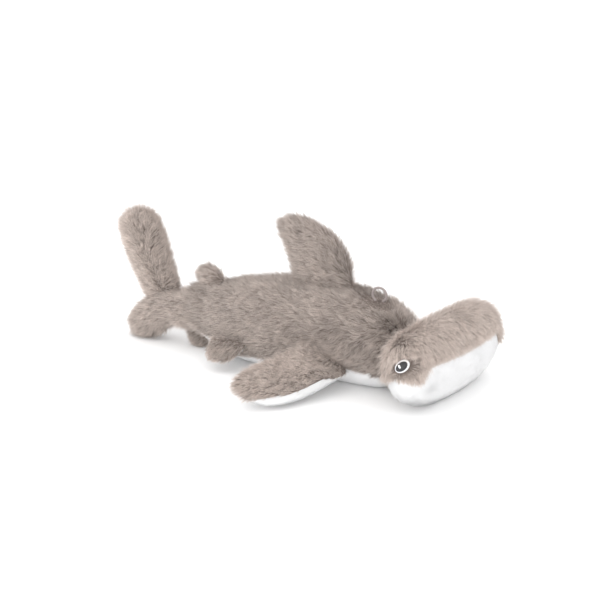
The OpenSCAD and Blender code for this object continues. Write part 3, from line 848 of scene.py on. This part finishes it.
def front_share(x):
    return np.clip((x - NECK_START) / (FRONT_LENGTH - NECK_START), 0, 1)


def body_low(x):
    rear = mix(TAIL_ROOT_RISE, -BELLY_SINK, ease(rear_share(x), 0.8))
    front = mix(-BELLY_SINK, NECK_RISE, front_share(x)**6)
    return np.where(x < NECK_START, rear, front)


def body_high(x):
    rear = mix(TAIL_ROOT_RISE + TAIL_ROOT_HEIGHT, SHOULDER_HEIGHT, ease(rear_share(x), 1))
    front = mix(SHOULDER_HEIGHT, NECK_RISE, front_share(x)**3.5)
    return np.where(x < NECK_START, rear, front)


def body_half(x):
    rear = mix(TAIL_ROOT_WIDTH, SHOULDER_WIDTH, ease(rear_share(x), 0.95)) / 2
    front = SHOULDER_WIDTH / 2 * np.sqrt(1 - front_share(x)**4)
    return np.where(x < NECK_START, rear, front)


def body_ring(x, low, high, half):
    upward = [0, 0, (high - low) / 2]
    made = ring([x, 0, (low + high) / 2], [0, half, 0], upward, BODY_SQUARENESS, BODY_ANGLES)
    if GROOVE_START < x < FRONT_LENGTH:
        a = np.radians(BODY_ANGLES)
        depth = GROOVE_DEPTH * math.sin(math.pi * (x - GROOVE_START) / (FRONT_LENGTH - GROOVE_START))
        made[:, 2] -= depth * np.clip(1 - np.abs(np.cos(a)) / GROOVE_REACH, 0, 1) * (np.sin(a) > 0)
    return made


def body_rings():
    rings = []
    root_middle = TAIL_ROOT_RISE + TAIL_ROOT_HEIGHT / 2
    for angle in (78, 62, 45, 28, 14):
        size = math.cos(math.radians(angle))
        reach = -REAR_LENGTH - TAIL_BULGE * math.sin(math.radians(angle))
        half = TAIL_ROOT_HEIGHT / 2 * size
        rings.append(body_ring(reach, root_middle - half, root_middle + half, TAIL_ROOT_WIDTH / 2 * size))
    stations = np.concatenate([
        np.linspace(-REAR_LENGTH, NECK_START, 34),
        mix(NECK_START, FRONT_LENGTH, np.sin(np.linspace(0, 1, 23)[1:] * np.pi / 2) * 0.995),
    ])
    for x in stations:
        rings.append(body_ring(x, float(body_low(x)), float(body_high(x)), float(body_half(x))))
    return rings


def torso_angle(points):
    middle = (body_low(points[:, 0]) + body_high(points[:, 0])) / 2
    return np.degrees(np.arctan2(points[:, 2] - middle, points[:, 1])) % 360


def torso_flow(points):
    """From the head to the tail and slightly down the flanks."""
    on_flank = smooth_step(0.0, 0.03, np.abs(points[:, 1]))
    down = -0.30 * on_flank - 0.25 * smooth_step(0.03, 0.09, points[:, 0])
    flow = np.stack([-np.ones(len(points)), np.zeros(len(points)), down], 1)
    # The fur parts along the seam on the back
    parted = smooth_step(0.055, 0.08, points[:, 0]) * (1 - on_flank)
    flow[:, 1] += 0.7 * parted * np.sign(points[:, 1])
    return flow


def torso_tousle(points):
    """The fur is ruffled over the shoulders."""
    return 0.11 + 0.40 * smooth_step(-0.02, 0.06, points[:, 0])


def torso_into_white(points):
    """Degrees from the nearer belly seam, positive on the white side. The seams rise towards the neck."""
    angle = torso_angle(points)
    rise = 9 * smooth_step(0.045, 0.075, points[:, 0])
    return np.minimum(angle - BELLY_SEAMS[0] + rise, BELLY_SEAMS[1] + rise - angle)


class SHARK_OT_torso(bpy.types.Operator):
    """Make the stuffed torso with its fur and its white belly"""

    bl_idname = "shark.torso"
    bl_label = "Torso"

    def execute(self, context):
        loop_root = np.array(hinge_of("hang_loop_swing")[0])

        def white(points):
            return torso_into_white(points) > 0

        def inset(points):
            return two_depths(smooth_step(-4, 8, torso_into_white(points)))

        def reach(points):
            """Shorter at the shoulders' belly seam and round the loop, longer over the tail joint."""
            over_tail = 0.35 * smooth_step(-0.090, -0.108, points[:, 0])
            at_seam = mix(0.5, 1.1, smooth_step(-0.005, -0.050, points[:, 0]))
            length = mix(at_seam, 1.0 + over_tail, smooth_step(0, 22, -torso_into_white(points)))
            from_loop = np.linalg.norm(points - loop_root, axis=1)
            return length * mix(0.15, 1.0, smooth_step(0.012, 0.026, from_loop))

        skin = Skin("torso_skin", body_rings(), white, Matrix.Identity(4), inset)
        panels = ["body_panel_right", "body_panel_left", "belly_panel"]
        cover(skin, "torso", [*panels, "body_stuffing_front", "body_stuffing_rear"])
        fur, plush = furs()
        # light=-0.25 is painted shade: the torso's fur is darker than the same fur on other pieces
        fur.grow(skin, "torso_fur", "torso", False, torso_flow, reach, 11, torso_tousle, light=-0.25)
        plush.grow(skin, "belly_pile", "torso", True, torso_flow, whole, 12)
        return {"FINISHED"}


# ---- Head ----

HEAD_COLUMNS = 72
HEAD_ANGLES = np.arange(HEAD_COLUMNS) * 360 / HEAD_COLUMNS


def head_place():
    hinge = Matrix.Translation((NECK_HINGE, 0, 0))
    return hinge @ Matrix.Rotation(math.radians(HEAD_TURN), 4, "Z") @ hinge.inverted()


def hammer_share(q, power):
    return (1 - (1 - HAMMER_END_SHARE**3) * abs(q) ** power) ** (1 / 3)


def hammer_centre(q):
    return (HAMMER_HEIGHT - HEAD_SINK) / 2 + HAMMER_LIFT * q * q - HAMMER_SLUMP * q


def head_rings():
    half_width = HAMMER_WIDTH / 2
    ends = half_width - HAMMER_ROUNDING
    across = [-math.sin(a) * ends for a in np.linspace(-math.pi / 2, math.pi / 2, 41)]
    rings = []

    def add(y, rounding):
        q = y / half_width
        deep = HAMMER_DEPTH / 2 * hammer_share(q, 6) - rounding
        tall = (HAMMER_HEIGHT + HEAD_SINK) / 2 * hammer_share(q, 3) - rounding
        centre = [HAMMER_MIDDLE, y, hammer_centre(q)]
        rings.append(ring(centre, [deep, 0, 0], [0, 0, tall], HEAD_SQUARENESS, HEAD_ANGLES))

    flat = [(half_width, HAMMER_ROUNDING * share) for share in (1.25, 1.0)]
    turns = [math.radians(a) for a in (80, 62, 45, 30, 15)]
    bend = [(ends + HAMMER_ROUNDING * math.sin(a), HAMMER_ROUNDING * (1 - math.cos(a))) for a in turns]
    for y, rounding in flat + bend:
        add(y, rounding)
    for y in across:
        add(y, 0.0)
    for y, rounding in bend[::-1] + flat[::-1]:
        add(-y, rounding)
    return rings


def eye_middle(side):
    return np.array([HAMMER_MIDDLE + EYE_FORWARD, side * HAMMER_WIDTH / 2, hammer_centre(side) + EYE_UP])


def eye_offset(points):
    """How far a place is from the nearer eye's middle.

    Returns the distances along and across the eye, as shares of its half sizes, and those in x and z.
    """
    side = np.sign(points[:, 1])
    lean = np.radians(EYE_LEAN)
    dx = points[:, 0] - (HAMMER_MIDDLE + EYE_FORWARD)
    dz = points[:, 2] - (hammer_centre(side) + EYE_UP)
    along = dx * np.cos(lean) + dz * np.sin(lean)
    over = -dx * np.sin(lean) + dz * np.cos(lean)
    far = np.abs(points[:, 1]) < HAMMER_WIDTH / 2 - HAMMER_ROUNDING
    away = 9.0
    return np.where(far, away, along / (EYE_LENGTH / 2)), np.where(far, away, over / (EYE_WIDTH / 2)), dx, dz


def head_angle(points):
    middle = hammer_centre(points[:, 1] / (HAMMER_WIDTH / 2))
    return np.degrees(np.arctan2(points[:, 2] - middle, points[:, 0] - HAMMER_MIDDLE)) % 360


def head_flow(points):
    """Over the top towards the front and down, and round the eyes."""
    count = len(points)
    outward = 0.35 * np.sign(points[:, 1]) * smooth_step(0.02, 0.07, np.abs(points[:, 1]))
    flow = np.stack([np.full(count, 0.9), outward, np.full(count, -0.75)], 1)
    end = smooth_step(0.070, 0.080, np.abs(points[:, 1]))
    down = np.stack([0.25 * np.ones(count), np.zeros(count), -np.ones(count)], 1)
    flow = mix(flow, down, end[:, None])
    along, over, dx, dz = eye_offset(points)
    near = (1 - smooth_step(1.0, 2.1, np.hypot(along, over)))[:, None]
    away = unit(np.stack([dx, np.zeros(count), dz], 1))
    return mix(flow, away * 1.2, near)


def head_tousle(points):
    return np.full(len(points), 0.26)


class SHARK_OT_head(bpy.types.Operator):
    """Make the stuffed hammer with its fur above and its white plush below"""

    bl_idname = "shark.head"
    bl_label = "Head"

    def execute(self, context):
        def into_white(points):
            """Degrees from the nearer seam, positive on the white side."""
            back_rise = HEAD_BACK_RISE * smooth_step(0.045, 0.075, np.abs(points[:, 1]))
            angle = (head_angle(points) - HEAD_SEAMS[0] + back_rise) % 360
            at_end = smooth_step(0.060, 0.078, np.abs(points[:, 1]))
            reach = HEAD_SEAMS[1] - HEAD_SEAMS[0] + back_rise - HEAD_SEAM_DROP * at_end
            inside = np.minimum(np.where(angle > 320, angle - 360, angle), reach - angle)
            # Grey reaches below the eye, where the angles run together
            middle = hammer_centre(points[:, 1] / (HAMMER_WIDTH / 2))
            below_grey = middle - GREY_BELOW_EYE - points[:, 2]
            degrees_in_a_metre = 2500
            return np.minimum(inside, mix(180, below_grey * degrees_in_a_metre, at_end))

        def white(points):
            return into_white(points) > 0

        def inset(points):
            depth = two_depths(smooth_step(-4, 8, into_white(points)))
            along, over, _, _ = eye_offset(points)
            return depth * smooth_step(0.9, 1.7, np.hypot(along, over)) + 0.0002

        def reach(points):
            along, over, _, _ = eye_offset(points)
            distance = np.hypot(along, over)
            border = mix(0.35, 1.0, smooth_step(0, 18, -into_white(points)))
            beside_eye = mix(0.6, 1.0, smooth_step(1.0, 1.7, distance))
            return np.where(distance < 1.02, 0, beside_eye * border)

        skin = Skin("head_skin", head_rings(), white, head_place(), inset)
        cover(skin, "head", ["head_top_panel", "head_under_panel", "head_stuffing"])
        fur, plush = furs()
        # light=0.36 is painted light: the head's fur is lighter than the same fur on other pieces
        fur.grow(skin, "head_fur", "head", False, head_flow, reach, 21, head_tousle, light=0.36)
        plush.grow(skin, "chin_pile", "head", True, head_flow, whole, 22)
        return {"FINISHED"}


# ---- Eyes: satin stitches ----

def thread_line(start, end, rise, radius, samples=5):
    """Points and radii of one stitch that bows by rise between two points."""
    t = np.linspace(0, 1, samples)
    line = mix(np.array(start)[None, :], np.array(end)[None, :], t[:, None])
    line[:, 2] += rise * np.sin(np.pi * t) ** 0.6
    return line, radius * (0.55 + 0.45 * np.sin(np.pi * t) ** 0.5)


def stitches(name, lines, body, material, place):
    """One mesh of closed thread tubes, drawn along lines of (points, radii)."""
    sides = 8
    points, faces = [], []
    for line, radii in lines:
        start = len(points)
        along = unit(np.gradient(line, axis=0))
        up = np.tile([0.0, 0.0, 1.0], (len(line), 1))
        out = unit(np.cross(along, up) + 1e-9)
        over = np.cross(out, along)
        for p, r, o, v in zip(line, radii, out, over):
            for j in range(sides):
                a = 2 * math.pi * j / sides
                points.append(p + r * (math.cos(a) * o + math.sin(a) * v))
        rows = len(line)
        for i in range(rows - 1):
            for j in range(sides):
                k = (j + 1) % sides
                a = start + i * sides
                faces.append((a + j, a + k, a + sides + k, a + sides + j))
        faces.append(tuple(start + j for j in range(sides))[::-1])
        faces.append(tuple(start + (rows - 1) * sides + j for j in range(sides)))
    mesh = bpy.data.meshes.new(name)
    mesh.from_pydata(place_on(np.array(points), place).tolist(), [], faces)
    mesh.update()
    mesh.shade_smooth()
    mesh.materials.append(bpy.data.materials[material])
    made = new_object(name, mesh)
    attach(made, body)
    return made


def oval(angle, half_length, half_width):
    return np.array([half_length * math.cos(angle), half_width * math.sin(angle), 0.0])


def eye_place(side):
    """The eye's own axes: x along it, y across it and z out of the head."""
    middle = Matrix.Translation(eye_middle(side).tolist())
    lean = math.radians(EYE_LEAN)
    along = Vector((math.cos(lean), 0, math.sin(lean)))
    out = Vector((0, side, 0))
    across = Vector((-math.sin(lean), 0, math.cos(lean)))
    axes = Matrix((along, across, out)).transposed().to_4x4()
    return head_place() @ middle @ axes


def rim_lines(around=96):
    """Short stitches side by side round the eye, from just over the pupil's edge out to the fur."""
    half_length, half_width, breadth = EYE_LENGTH / 2, EYE_WIDTH / 2, EYE_RIM * 1.1
    lines = []
    for i in range(around):
        a = 2 * math.pi * i / around
        inner = oval(a, half_length - breadth, half_width - breadth) + [0, 0, 0.0005]
        outer = oval(a, half_length, half_width) - [0, 0, 0.0006]
        lines.append(thread_line(inner, outer, 0.0007, RIM_THREAD))
    return lines


def pupil_lines(rows=34):
    """Padded stitches across the pupil, one beside the other along it."""
    inner_length, inner_width = EYE_LENGTH / 2 - EYE_RIM, EYE_WIDTH / 2 - EYE_RIM
    lines = []
    for i in range(rows):
        x = mix(-1, 1, (i + 0.5) / rows)
        y = math.sqrt(1 - x * x)
        start = [x * inner_length, -y * inner_width, 0.0004]
        end = [x * inner_length, y * inner_width, 0.0004]
        lines.append(thread_line(start, end, PUPIL_SWELL * y, PUPIL_THREAD, 9))
    return lines


def glint_lines(side, rows=9):
    """A small round patch of stitches near the upper front of the pupil."""
    radius = 0.165 * EYE_WIDTH
    x_middle, y_middle, height = -0.08 * EYE_LENGTH, -0.1 * EYE_WIDTH * side, 0.0014
    lines = []
    for i in range(rows):
        y = mix(-1, 1, (i + 0.5) / rows)
        x = math.sqrt(1 - y * y)
        start = [x_middle - x * radius, y_middle + y * radius, height]
        end = [x_middle + x * radius, y_middle + y * radius, height]
        lines.append(thread_line(start, end, 0.0007, GLINT_THREAD))
    return lines


class SHARK_OT_eyes(bpy.types.Operator):
    """Stitch both eyes: a white rim, a black pupil and a white glint"""

    bl_idname = "shark.eyes"
    bl_label = "Eyes"

    def execute(self, context):
        for side, word in ((-1, "right"), (1, "left")):
            place = eye_place(side)
            rim = stitches(f"eye_rim_{word}", rim_lines(), "head", "white_thread", place)
            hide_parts(f"eye_patch_{word}")
            pupil = stitches(
                f"eye_pupil_thread_{word}", pupil_lines(), "head", "black_thread", place
            )
            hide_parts(f"eye_pupil_{word}")
            glint = stitches(
                f"eye_glint_thread_{word}", glint_lines(side), "head", "white_thread", place
            )
            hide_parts(f"eye_glint_{word}")
        return {"FINISHED"}


# ---- Tail stem and lower lobe ----

TAIL_COLUMNS = 48
TAIL_ANGLES = np.arange(TAIL_COLUMNS) * 360 / TAIL_COLUMNS
BEND_LENGTH = BEND_RADIUS * BEND_ANGLE
TAIL_LENGTH = STEM_LENGTH + BEND_LENGTH + LOBE_LENGTH
TAIL_OVERLAP = 0.013 / TAIL_LENGTH  # how far the stem reaches into the torso, as a share of its length


def tail_rings():
    rings = []
    front = [(-TAIL_OVERLAP * t, math.sqrt(1 - t * t) * 0.96) for t in (0.995, 0.93, 0.8, 0.6, 0.4, 0.2)]
    body = [(t, 1.0) for t in np.linspace(0, 0.85, 17)]
    tip = [(t, 1.0) for t in (0.89, 0.925, 0.955, 0.975, 0.988, 0.996)]
    for t, share in front + body + tip:
        along = t * TAIL_LENGTH
        slope = BEND_ANGLE * min(max((along - STEM_LENGTH) / BEND_LENGTH, 0), 1)
        straight, lobe = min(along, STEM_LENGTH), max(along - STEM_LENGTH - BEND_LENGTH, 0)
        centre = [
            TAIL_FRONT - straight - BEND_RADIUS * math.sin(slope) - lobe * math.cos(BEND_ANGLE), 0,
            TAIL_MIDDLE - BEND_RADIUS * (1 - math.cos(slope)) - lobe * math.sin(BEND_ANGLE),
        ]
        round_off = math.sqrt(1 - max(t, 0)**7) * share
        tall, wide = STEM_HEIGHT / 2 * round_off, STEM_WIDTH / 2 * round_off * mix(1, LOBE_TAPER, t)
        upward = [-tall * math.sin(slope), 0, tall * math.cos(slope)]
        rings.append(ring(centre, [0, -wide, 0], upward, TAIL_SQUARENESS, TAIL_ANGLES))
    return rings


def tail_flow(points):
    """Back along the stem, and down along the lobe."""
    stem_end = TAIL_FRONT - STEM_LENGTH
    down = mix(-0.75, -0.1, smooth_step(stem_end - 0.02, stem_end, points[:, 0]))
    return np.stack([-np.ones(len(points)), np.zeros(len(points)), down], 1)


class SHARK_OT_tail(bpy.types.Operator):
    """Make the tail's stem and lower lobe"""

    bl_idname = "shark.tail"
    bl_label = "Tail"

    def execute(self, context):
        depth = context.scene.shark_pile.fur_depth

        def inset(points):
            return np.full(len(points), depth)

        skin = Skin("tail_skin", tail_rings(), none_white, Matrix.Identity(4), inset)
        cover(skin, "tail", ["tail_panel_right", "tail_panel_left", "tail_stuffing"])
        fur, _ = furs()
        fur.grow(skin, "tail_fur", "tail", False, tail_flow, whole, 31)
        return {"FINISHED"}


# ---- Fins ----

FIN_COLUMNS = 48
FIN_ANGLES = np.arange(FIN_COLUMNS) * 360 / FIN_COLUMNS


class Fin:
    """A flat fin that stands on its hinge line: x along the root, y through it and z out to the tip.

    chord is its breadth near the tip, lean how far the tip lies behind the root and lean_power how the lean
    grows on the way. half is half its thickness, and a larger bluntness makes a squarer tip. A fin may have
    a white under layer on its -y side, which rolls up over the leading edge by roll.
    """

    def __init__(
        self, title, place, nodes, flow, seed, length, root, chord, lean, half, bluntness,
        lean_power=1, white=False, roll=0.0, light=0.0,
    ):
        self.title, self.place, self.nodes, self.flow, self.seed = title, place, nodes, flow, seed
        self.length, self.root, self.chord = length, root, chord
        self.half, self.bluntness = half, bluntness
        self.lean, self.lean_power, self.white, self.roll, self.light = lean, lean_power, white, roll, light
        self.small = half < SMALL_FIN
        self.fill = min(ROOT_FILL, 0.9 * half)

    def rings(self):
        """The rolled root seam, then the fin up to its rounded tip."""
        made = []
        for angle in (80, 60, 40, 20):
            out, down = math.cos(math.radians(angle)), math.sin(math.radians(angle))
            along = self.root / 2 - self.fill * (1 - out)
            centre = [0, 0, -self.fill * down]
            made.append(ring(centre, [along, 0, 0], [0, self.fill * out, 0], 2, FIN_ANGLES))
        tip = [0.86, 0.91, 0.945, 0.97, 0.985, 0.995]
        for s in [*np.linspace(0, 0.8, 31), *tip]:
            half_chord = mix(self.root, self.chord, s) / 2 * math.sqrt(1 - s**self.bluntness)
            swell = math.sin(math.pi / 2 * min(s / 0.4, 1))
            half = mix(self.fill, self.half, swell) * math.sqrt(1 - s**6)
            centre = [-self.lean * s**self.lean_power, 0, s * self.length]
            made.append(ring(centre, [half_chord, 0, 0], [0, half, 0], 2, FIN_ANGLES))
        return made

    def into_white(self, points):
        """How far past its seam a place is, positive on the white side."""
        from_middle = points[:, 0] + self.lean * points[:, 2] / self.length
        near_front = smooth_step(0.0, 0.02, from_middle) * smooth_step(0.0, 0.03, points[:, 2])
        return self.roll * near_front - points[:, 1]

    def is_white(self, points):
        return (self.into_white(points) > 0) & self.white

    def inset(self, points):
        pile = bpy.context.scene.shark_pile
        depth = SMALL_FIN_DEPTH if self.small else pile.fur_depth
        if self.white:
            share = smooth_step(-0.001, 0.001, self.into_white(points))
            depth = mix(depth, min(depth, pile.plush_depth), share)
        return mix(0.0, depth, smooth_step(-0.001, 0.012, points[:, 2]))

    def reach(self, points):
        """The fur is shorter at the root and beside the white."""
        share = (0.8 if self.small else 1.0) * mix(0.75, 1.0, smooth_step(0.0, 0.008, points[:, 2]))
        if self.white:
            share = share * mix(0.75, 1.0, smooth_step(0.0, 0.006, -self.into_white(points)))
        return share

    def make(self):
        skin = Skin(f"{self.title}_skin", self.rings(), self.is_white, self.place, self.inset, FIN_SWELL)
        cover(skin, self.title, self.nodes)
        fur, plush = furs()
        fur.grow(
            skin, f"{self.title}_fur", self.title, False, self.flow, self.reach, self.seed, light=self.light
        )
        if self.white:
            plush.grow(skin, f"{self.title}_pile", self.title, True, self.flow, whole, self.seed + 1)


def fan_flow(points):
    """From the middle line out to both edges and up to the tip."""
    spread = np.clip(points[:, 0] / 0.012, -1, 1)
    return np.stack([1.1 * spread, np.zeros(len(points)), 0.75 * np.ones(len(points))], 1)


def swept_flow(points):
    """From the leading edge back and up."""
    return np.stack([-np.ones(len(points)), np.zeros(len(points)), 0.35 * np.ones(len(points))], 1)


def outward_flow(points):
    """From the root to the tip."""
    return np.stack([-0.45 * np.ones(len(points)), np.zeros(len(points)), np.ones(len(points))], 1)


def fins():
    # The light values are painted light and shade: the same fur is lighter on the upper lobe and pectorals
    # and darker on the dorsal fin
    made = [
        Fin(
            "upper_lobe", upright("upper_lobe_flop"),
            ["upper_lobe_panel_right", "upper_lobe_panel_left", "upper_lobe_stuffing"], fan_flow, 41,
            length=0.086, root=0.038, chord=0.050, lean=0, half=0.011, bluntness=7, light=0.2,
        ),
        Fin(
            "dorsal_fin", upright("dorsal_fin_flop"),
            ["dorsal_panel_right", "dorsal_panel_left", "dorsal_stuffing"], swept_flow, 43,
            length=0.063, root=0.062, chord=0.066, lean=0.031, half=0.011, bluntness=5,
            lean_power=2, light=-0.3,
        ),
        Fin(
            "rear_dorsal_fin", upright("rear_dorsal_flop"),
            ["rear_dorsal_panel_right", "rear_dorsal_panel_left"], swept_flow, 45,
            length=0.018, root=0.024, chord=0.024, lean=0.004, half=0.0065, bluntness=3,
        ),
        Fin(
            "anal_fin", hanging("anal_fin_flop", ANAL_TILT),
            ["anal_panel_right", "anal_panel_left"], outward_flow, 47,
            length=0.0115, root=0.025, chord=0.0225, lean=-0.004, half=0.0045, bluntness=3, white=True,
        ),
    ]
    for side, word, seed in ((-1, "right", 51), (1, "left", 61)):
        made.append(Fin(
            f"pectoral_{word}", side_fin(side, f"pectoral_{word}_flap", PECTORAL_DROOP, PECTORAL_TILT),
            [f"pectoral_top_{word}", f"pectoral_under_{word}", f"pectoral_stuffing_{word}"],
            outward_flow, seed,
            length=0.090, root=0.052, chord=0.058, lean=0.034, half=0.011, bluntness=6,
            lean_power=1.3, white=True, roll=0.0066, light=0.3,
        ))
        made.append(Fin(
            f"pelvic_{word}", side_fin(side, f"pelvic_{word}_flap", PELVIC_DROOP),
            [f"pelvic_top_{word}", f"pelvic_under_{word}"], outward_flow, seed + 3,
            length=0.021, root=0.038, chord=0.0342, lean=0.005, half=0.0045, bluntness=3, white=True,
        ))
    return made


class SHARK_OT_fins(bpy.types.Operator):
    """Make the tail's upper lobe, the dorsal fins, the pectoral fins and the belly fins"""

    bl_idname = "shark.fins"
    bl_label = "Fins"

    def execute(self, context):
        for fin in fins():
            fin.make()
        return {"FINISHED"}


# ---- Hang loop ----

class SHARK_OT_hang_loop(bpy.types.Operator):
    """Make the elastic hang loop and the thread that tacks it into the seam"""

    bl_idname = "shark.hang_loop"
    bl_label = "Hang loop"

    def execute(self, context):
        low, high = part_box("loop_tack")
        hinge = Vector(((low.x + high.x) / 2, 0, (low.z + high.z) / 2))
        middle = hinge + Vector((0, 0, LOOP_RADIUS * math.cos(LOOP_OPENING / 2)))
        curve = bpy.data.curves.new("hang_loop_cord", "CURVE")
        curve.dimensions = "3D"
        curve.bevel_depth = LOOP_CORD / 2
        curve.bevel_resolution = 5
        curve.use_fill_caps = True
        spline = curve.splines.new("POLY")
        steps = 64
        spline.points.add(steps)
        for i in range(steps + 1):
            a = -math.pi / 2 + LOOP_OPENING / 2 + (2 * math.pi - LOOP_OPENING) * i / steps
            p = middle + LOOP_RADIUS * Vector((math.cos(a), 0, math.sin(a)))
            spline.points[i].co = (*p, 1)
        spline.use_smooth = True
        curve.materials.append(bpy.data.materials["elastic_cord"])
        loop = new_object("hang_loop_cord", curve)
        start = Vector(spline.points[0].co[:3])
        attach(loop, "loop")
        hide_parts("hang_loop")
        lines = []
        turns = 6
        radius = (high.z - low.z) / 2
        angles = np.linspace(0, 2 * math.pi, 13)[:-1]
        for i in range(turns):
            x = mix(low.x, high.x, (i + 0.5) / turns) - hinge.x
            across, up = radius * np.cos(angles), radius * np.sin(angles)
            line = np.stack([x + 0.0002 * np.sin(angles), across, up], 1)
            lines.append((line, np.full(len(line), TACK_THREAD)))
        place = Matrix.Translation(hinge)
        tack = stitches("loop_tack_thread", lines, "torso", "grey_thread", place)
        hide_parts("loop_tack")
        return {"FINISHED"}


# ---- Squeaker ----

class SHARK_OT_squeaker(bpy.types.Operator):
    """Finish the squeaker inside the torso"""

    bl_idname = "shark.squeaker"
    bl_label = "Squeaker"

    def execute(self, context):
        for node, material in (("squeaker_bulb", "bulb_plastic"), ("squeaker_reed", "reed_plastic")):
            mesh = frame["nodes"][node].data
            mesh.materials.clear()
            mesh.materials.append(bpy.data.materials[material])
        return {"FINISHED"}


# ---- Stage ----

def soft_light(name, place, size, power, aim):
    light = bpy.data.lights.new(name, "AREA")
    light.shape = "DISK"
    light.size = size
    light.energy = power
    lamp = new_object(name, light)
    lamp.location = place
    lamp.rotation_mode = "QUATERNION"
    lamp.rotation_quaternion = (Vector(aim) - Vector(place)).to_track_quat("-Z", "Y")


class SHARK_OT_stage(bpy.types.Operator):
    """Set up the camera, the soft light and the pale floor"""

    bl_idname = "shark.stage"
    bl_label = "Stage"

    def execute(self, context):
        settings = context.scene.shark_stage
        camera = bpy.data.cameras.new("camera")
        camera.sensor_width = 36
        camera.lens = 90
        camera.clip_end = 20
        view = new_object("camera", camera)
        a, e = settings.azimuth, settings.elevation
        back = Vector((math.sin(a) * math.cos(e), -math.cos(a) * math.cos(e), math.sin(e)))
        view.location = Vector((0, 0, settings.aim_height)) + back * settings.distance
        view.rotation_mode = "QUATERNION"
        view.rotation_quaternion = (-back).to_track_quat("-Z", "Y")
        context.scene.camera = view

        mesh = bpy.data.meshes.new("floor")
        reach = 6.0
        corners = [(-reach, -reach, 0), (reach, -reach, 0), (reach, reach, 0), (-reach, reach, 0)]
        mesh.from_pydata(corners, [], [(0, 1, 2, 3)])
        floor = new_object("floor", mesh)
        paper = bpy.data.materials.new("paper")
        paper.use_nodes = True
        shader = paper.node_tree.nodes["Principled BSDF"]
        shader.inputs["Base Color"].default_value = (0.96, 0.96, 0.96, 1)
        shader.inputs["Roughness"].default_value = 0.9
        shader.inputs["Specular IOR Level"].default_value = 0.0
        mesh.materials.append(paper)

        world = bpy.data.worlds.new("studio")
        world.use_nodes = True
        glow = world.node_tree.nodes["Background"]
        glow.inputs["Color"].default_value = (1, 1, 1, 1)
        glow.inputs["Strength"].default_value = settings.light
        context.scene.world = world
        context.scene.view_settings.view_transform = "Standard"
        soft_light("key", (-0.9, -1.1, 1.9), 1.6, 5, (0, 0, 0.05))
        soft_light("front_fill", (0.8, -1.9, 0.45), 1.8, 18, (0.05, 0, 0.05))
        soft_light("side_fill", (-1.7, -0.9, 0.45), 1.4, 6, (-0.1, 0, 0.05))
        return {"FINISHED"}


class SHARK_PT_panel(bpy.types.Panel):
    """Lists the shark's settings and pieces."""

    bl_label = "Stuffed shark"
    bl_idname = "SHARK_PT_panel"
    bl_space_type = "VIEW_3D"
    bl_region_type = "UI"
    bl_category = "Shark"

    def draw(self, context):
        for name, group in SETTINGS.items():
            box = self.layout.box()
            for key in group.__annotations__:
                box.prop(getattr(context.scene, name), key)
        for operator in OPERATORS:
            self.layout.operator(operator.bl_idname)


OPERATORS = (
    SHARK_OT_stage, SHARK_OT_hang_loop, SHARK_OT_torso, SHARK_OT_head, SHARK_OT_eyes, SHARK_OT_tail,
    SHARK_OT_fins, SHARK_OT_squeaker,
)
CLASSES = (*SETTINGS.values(), *OPERATORS, SHARK_PT_panel)


def register():
    for item in CLASSES:
        bpy.utils.register_class(item)
    for name, group in SETTINGS.items():
        setattr(bpy.types.Scene, name, bpy.props.PointerProperty(type=group))


def unregister():
    for name in SETTINGS:
        delattr(bpy.types.Scene, name)
    for item in reversed(CLASSES):
        bpy.utils.unregister_class(item)


def main():
    register()
    make_materials()
    bpy.ops.shark.stage()
    bpy.ops.shark.hang_loop()
    bpy.ops.shark.torso()
    bpy.ops.shark.head()
    bpy.ops.shark.eyes()
    bpy.ops.shark.tail()
    bpy.ops.shark.fins()
    bpy.ops.shark.squeaker()


if __name__ == "__main__":
    main()
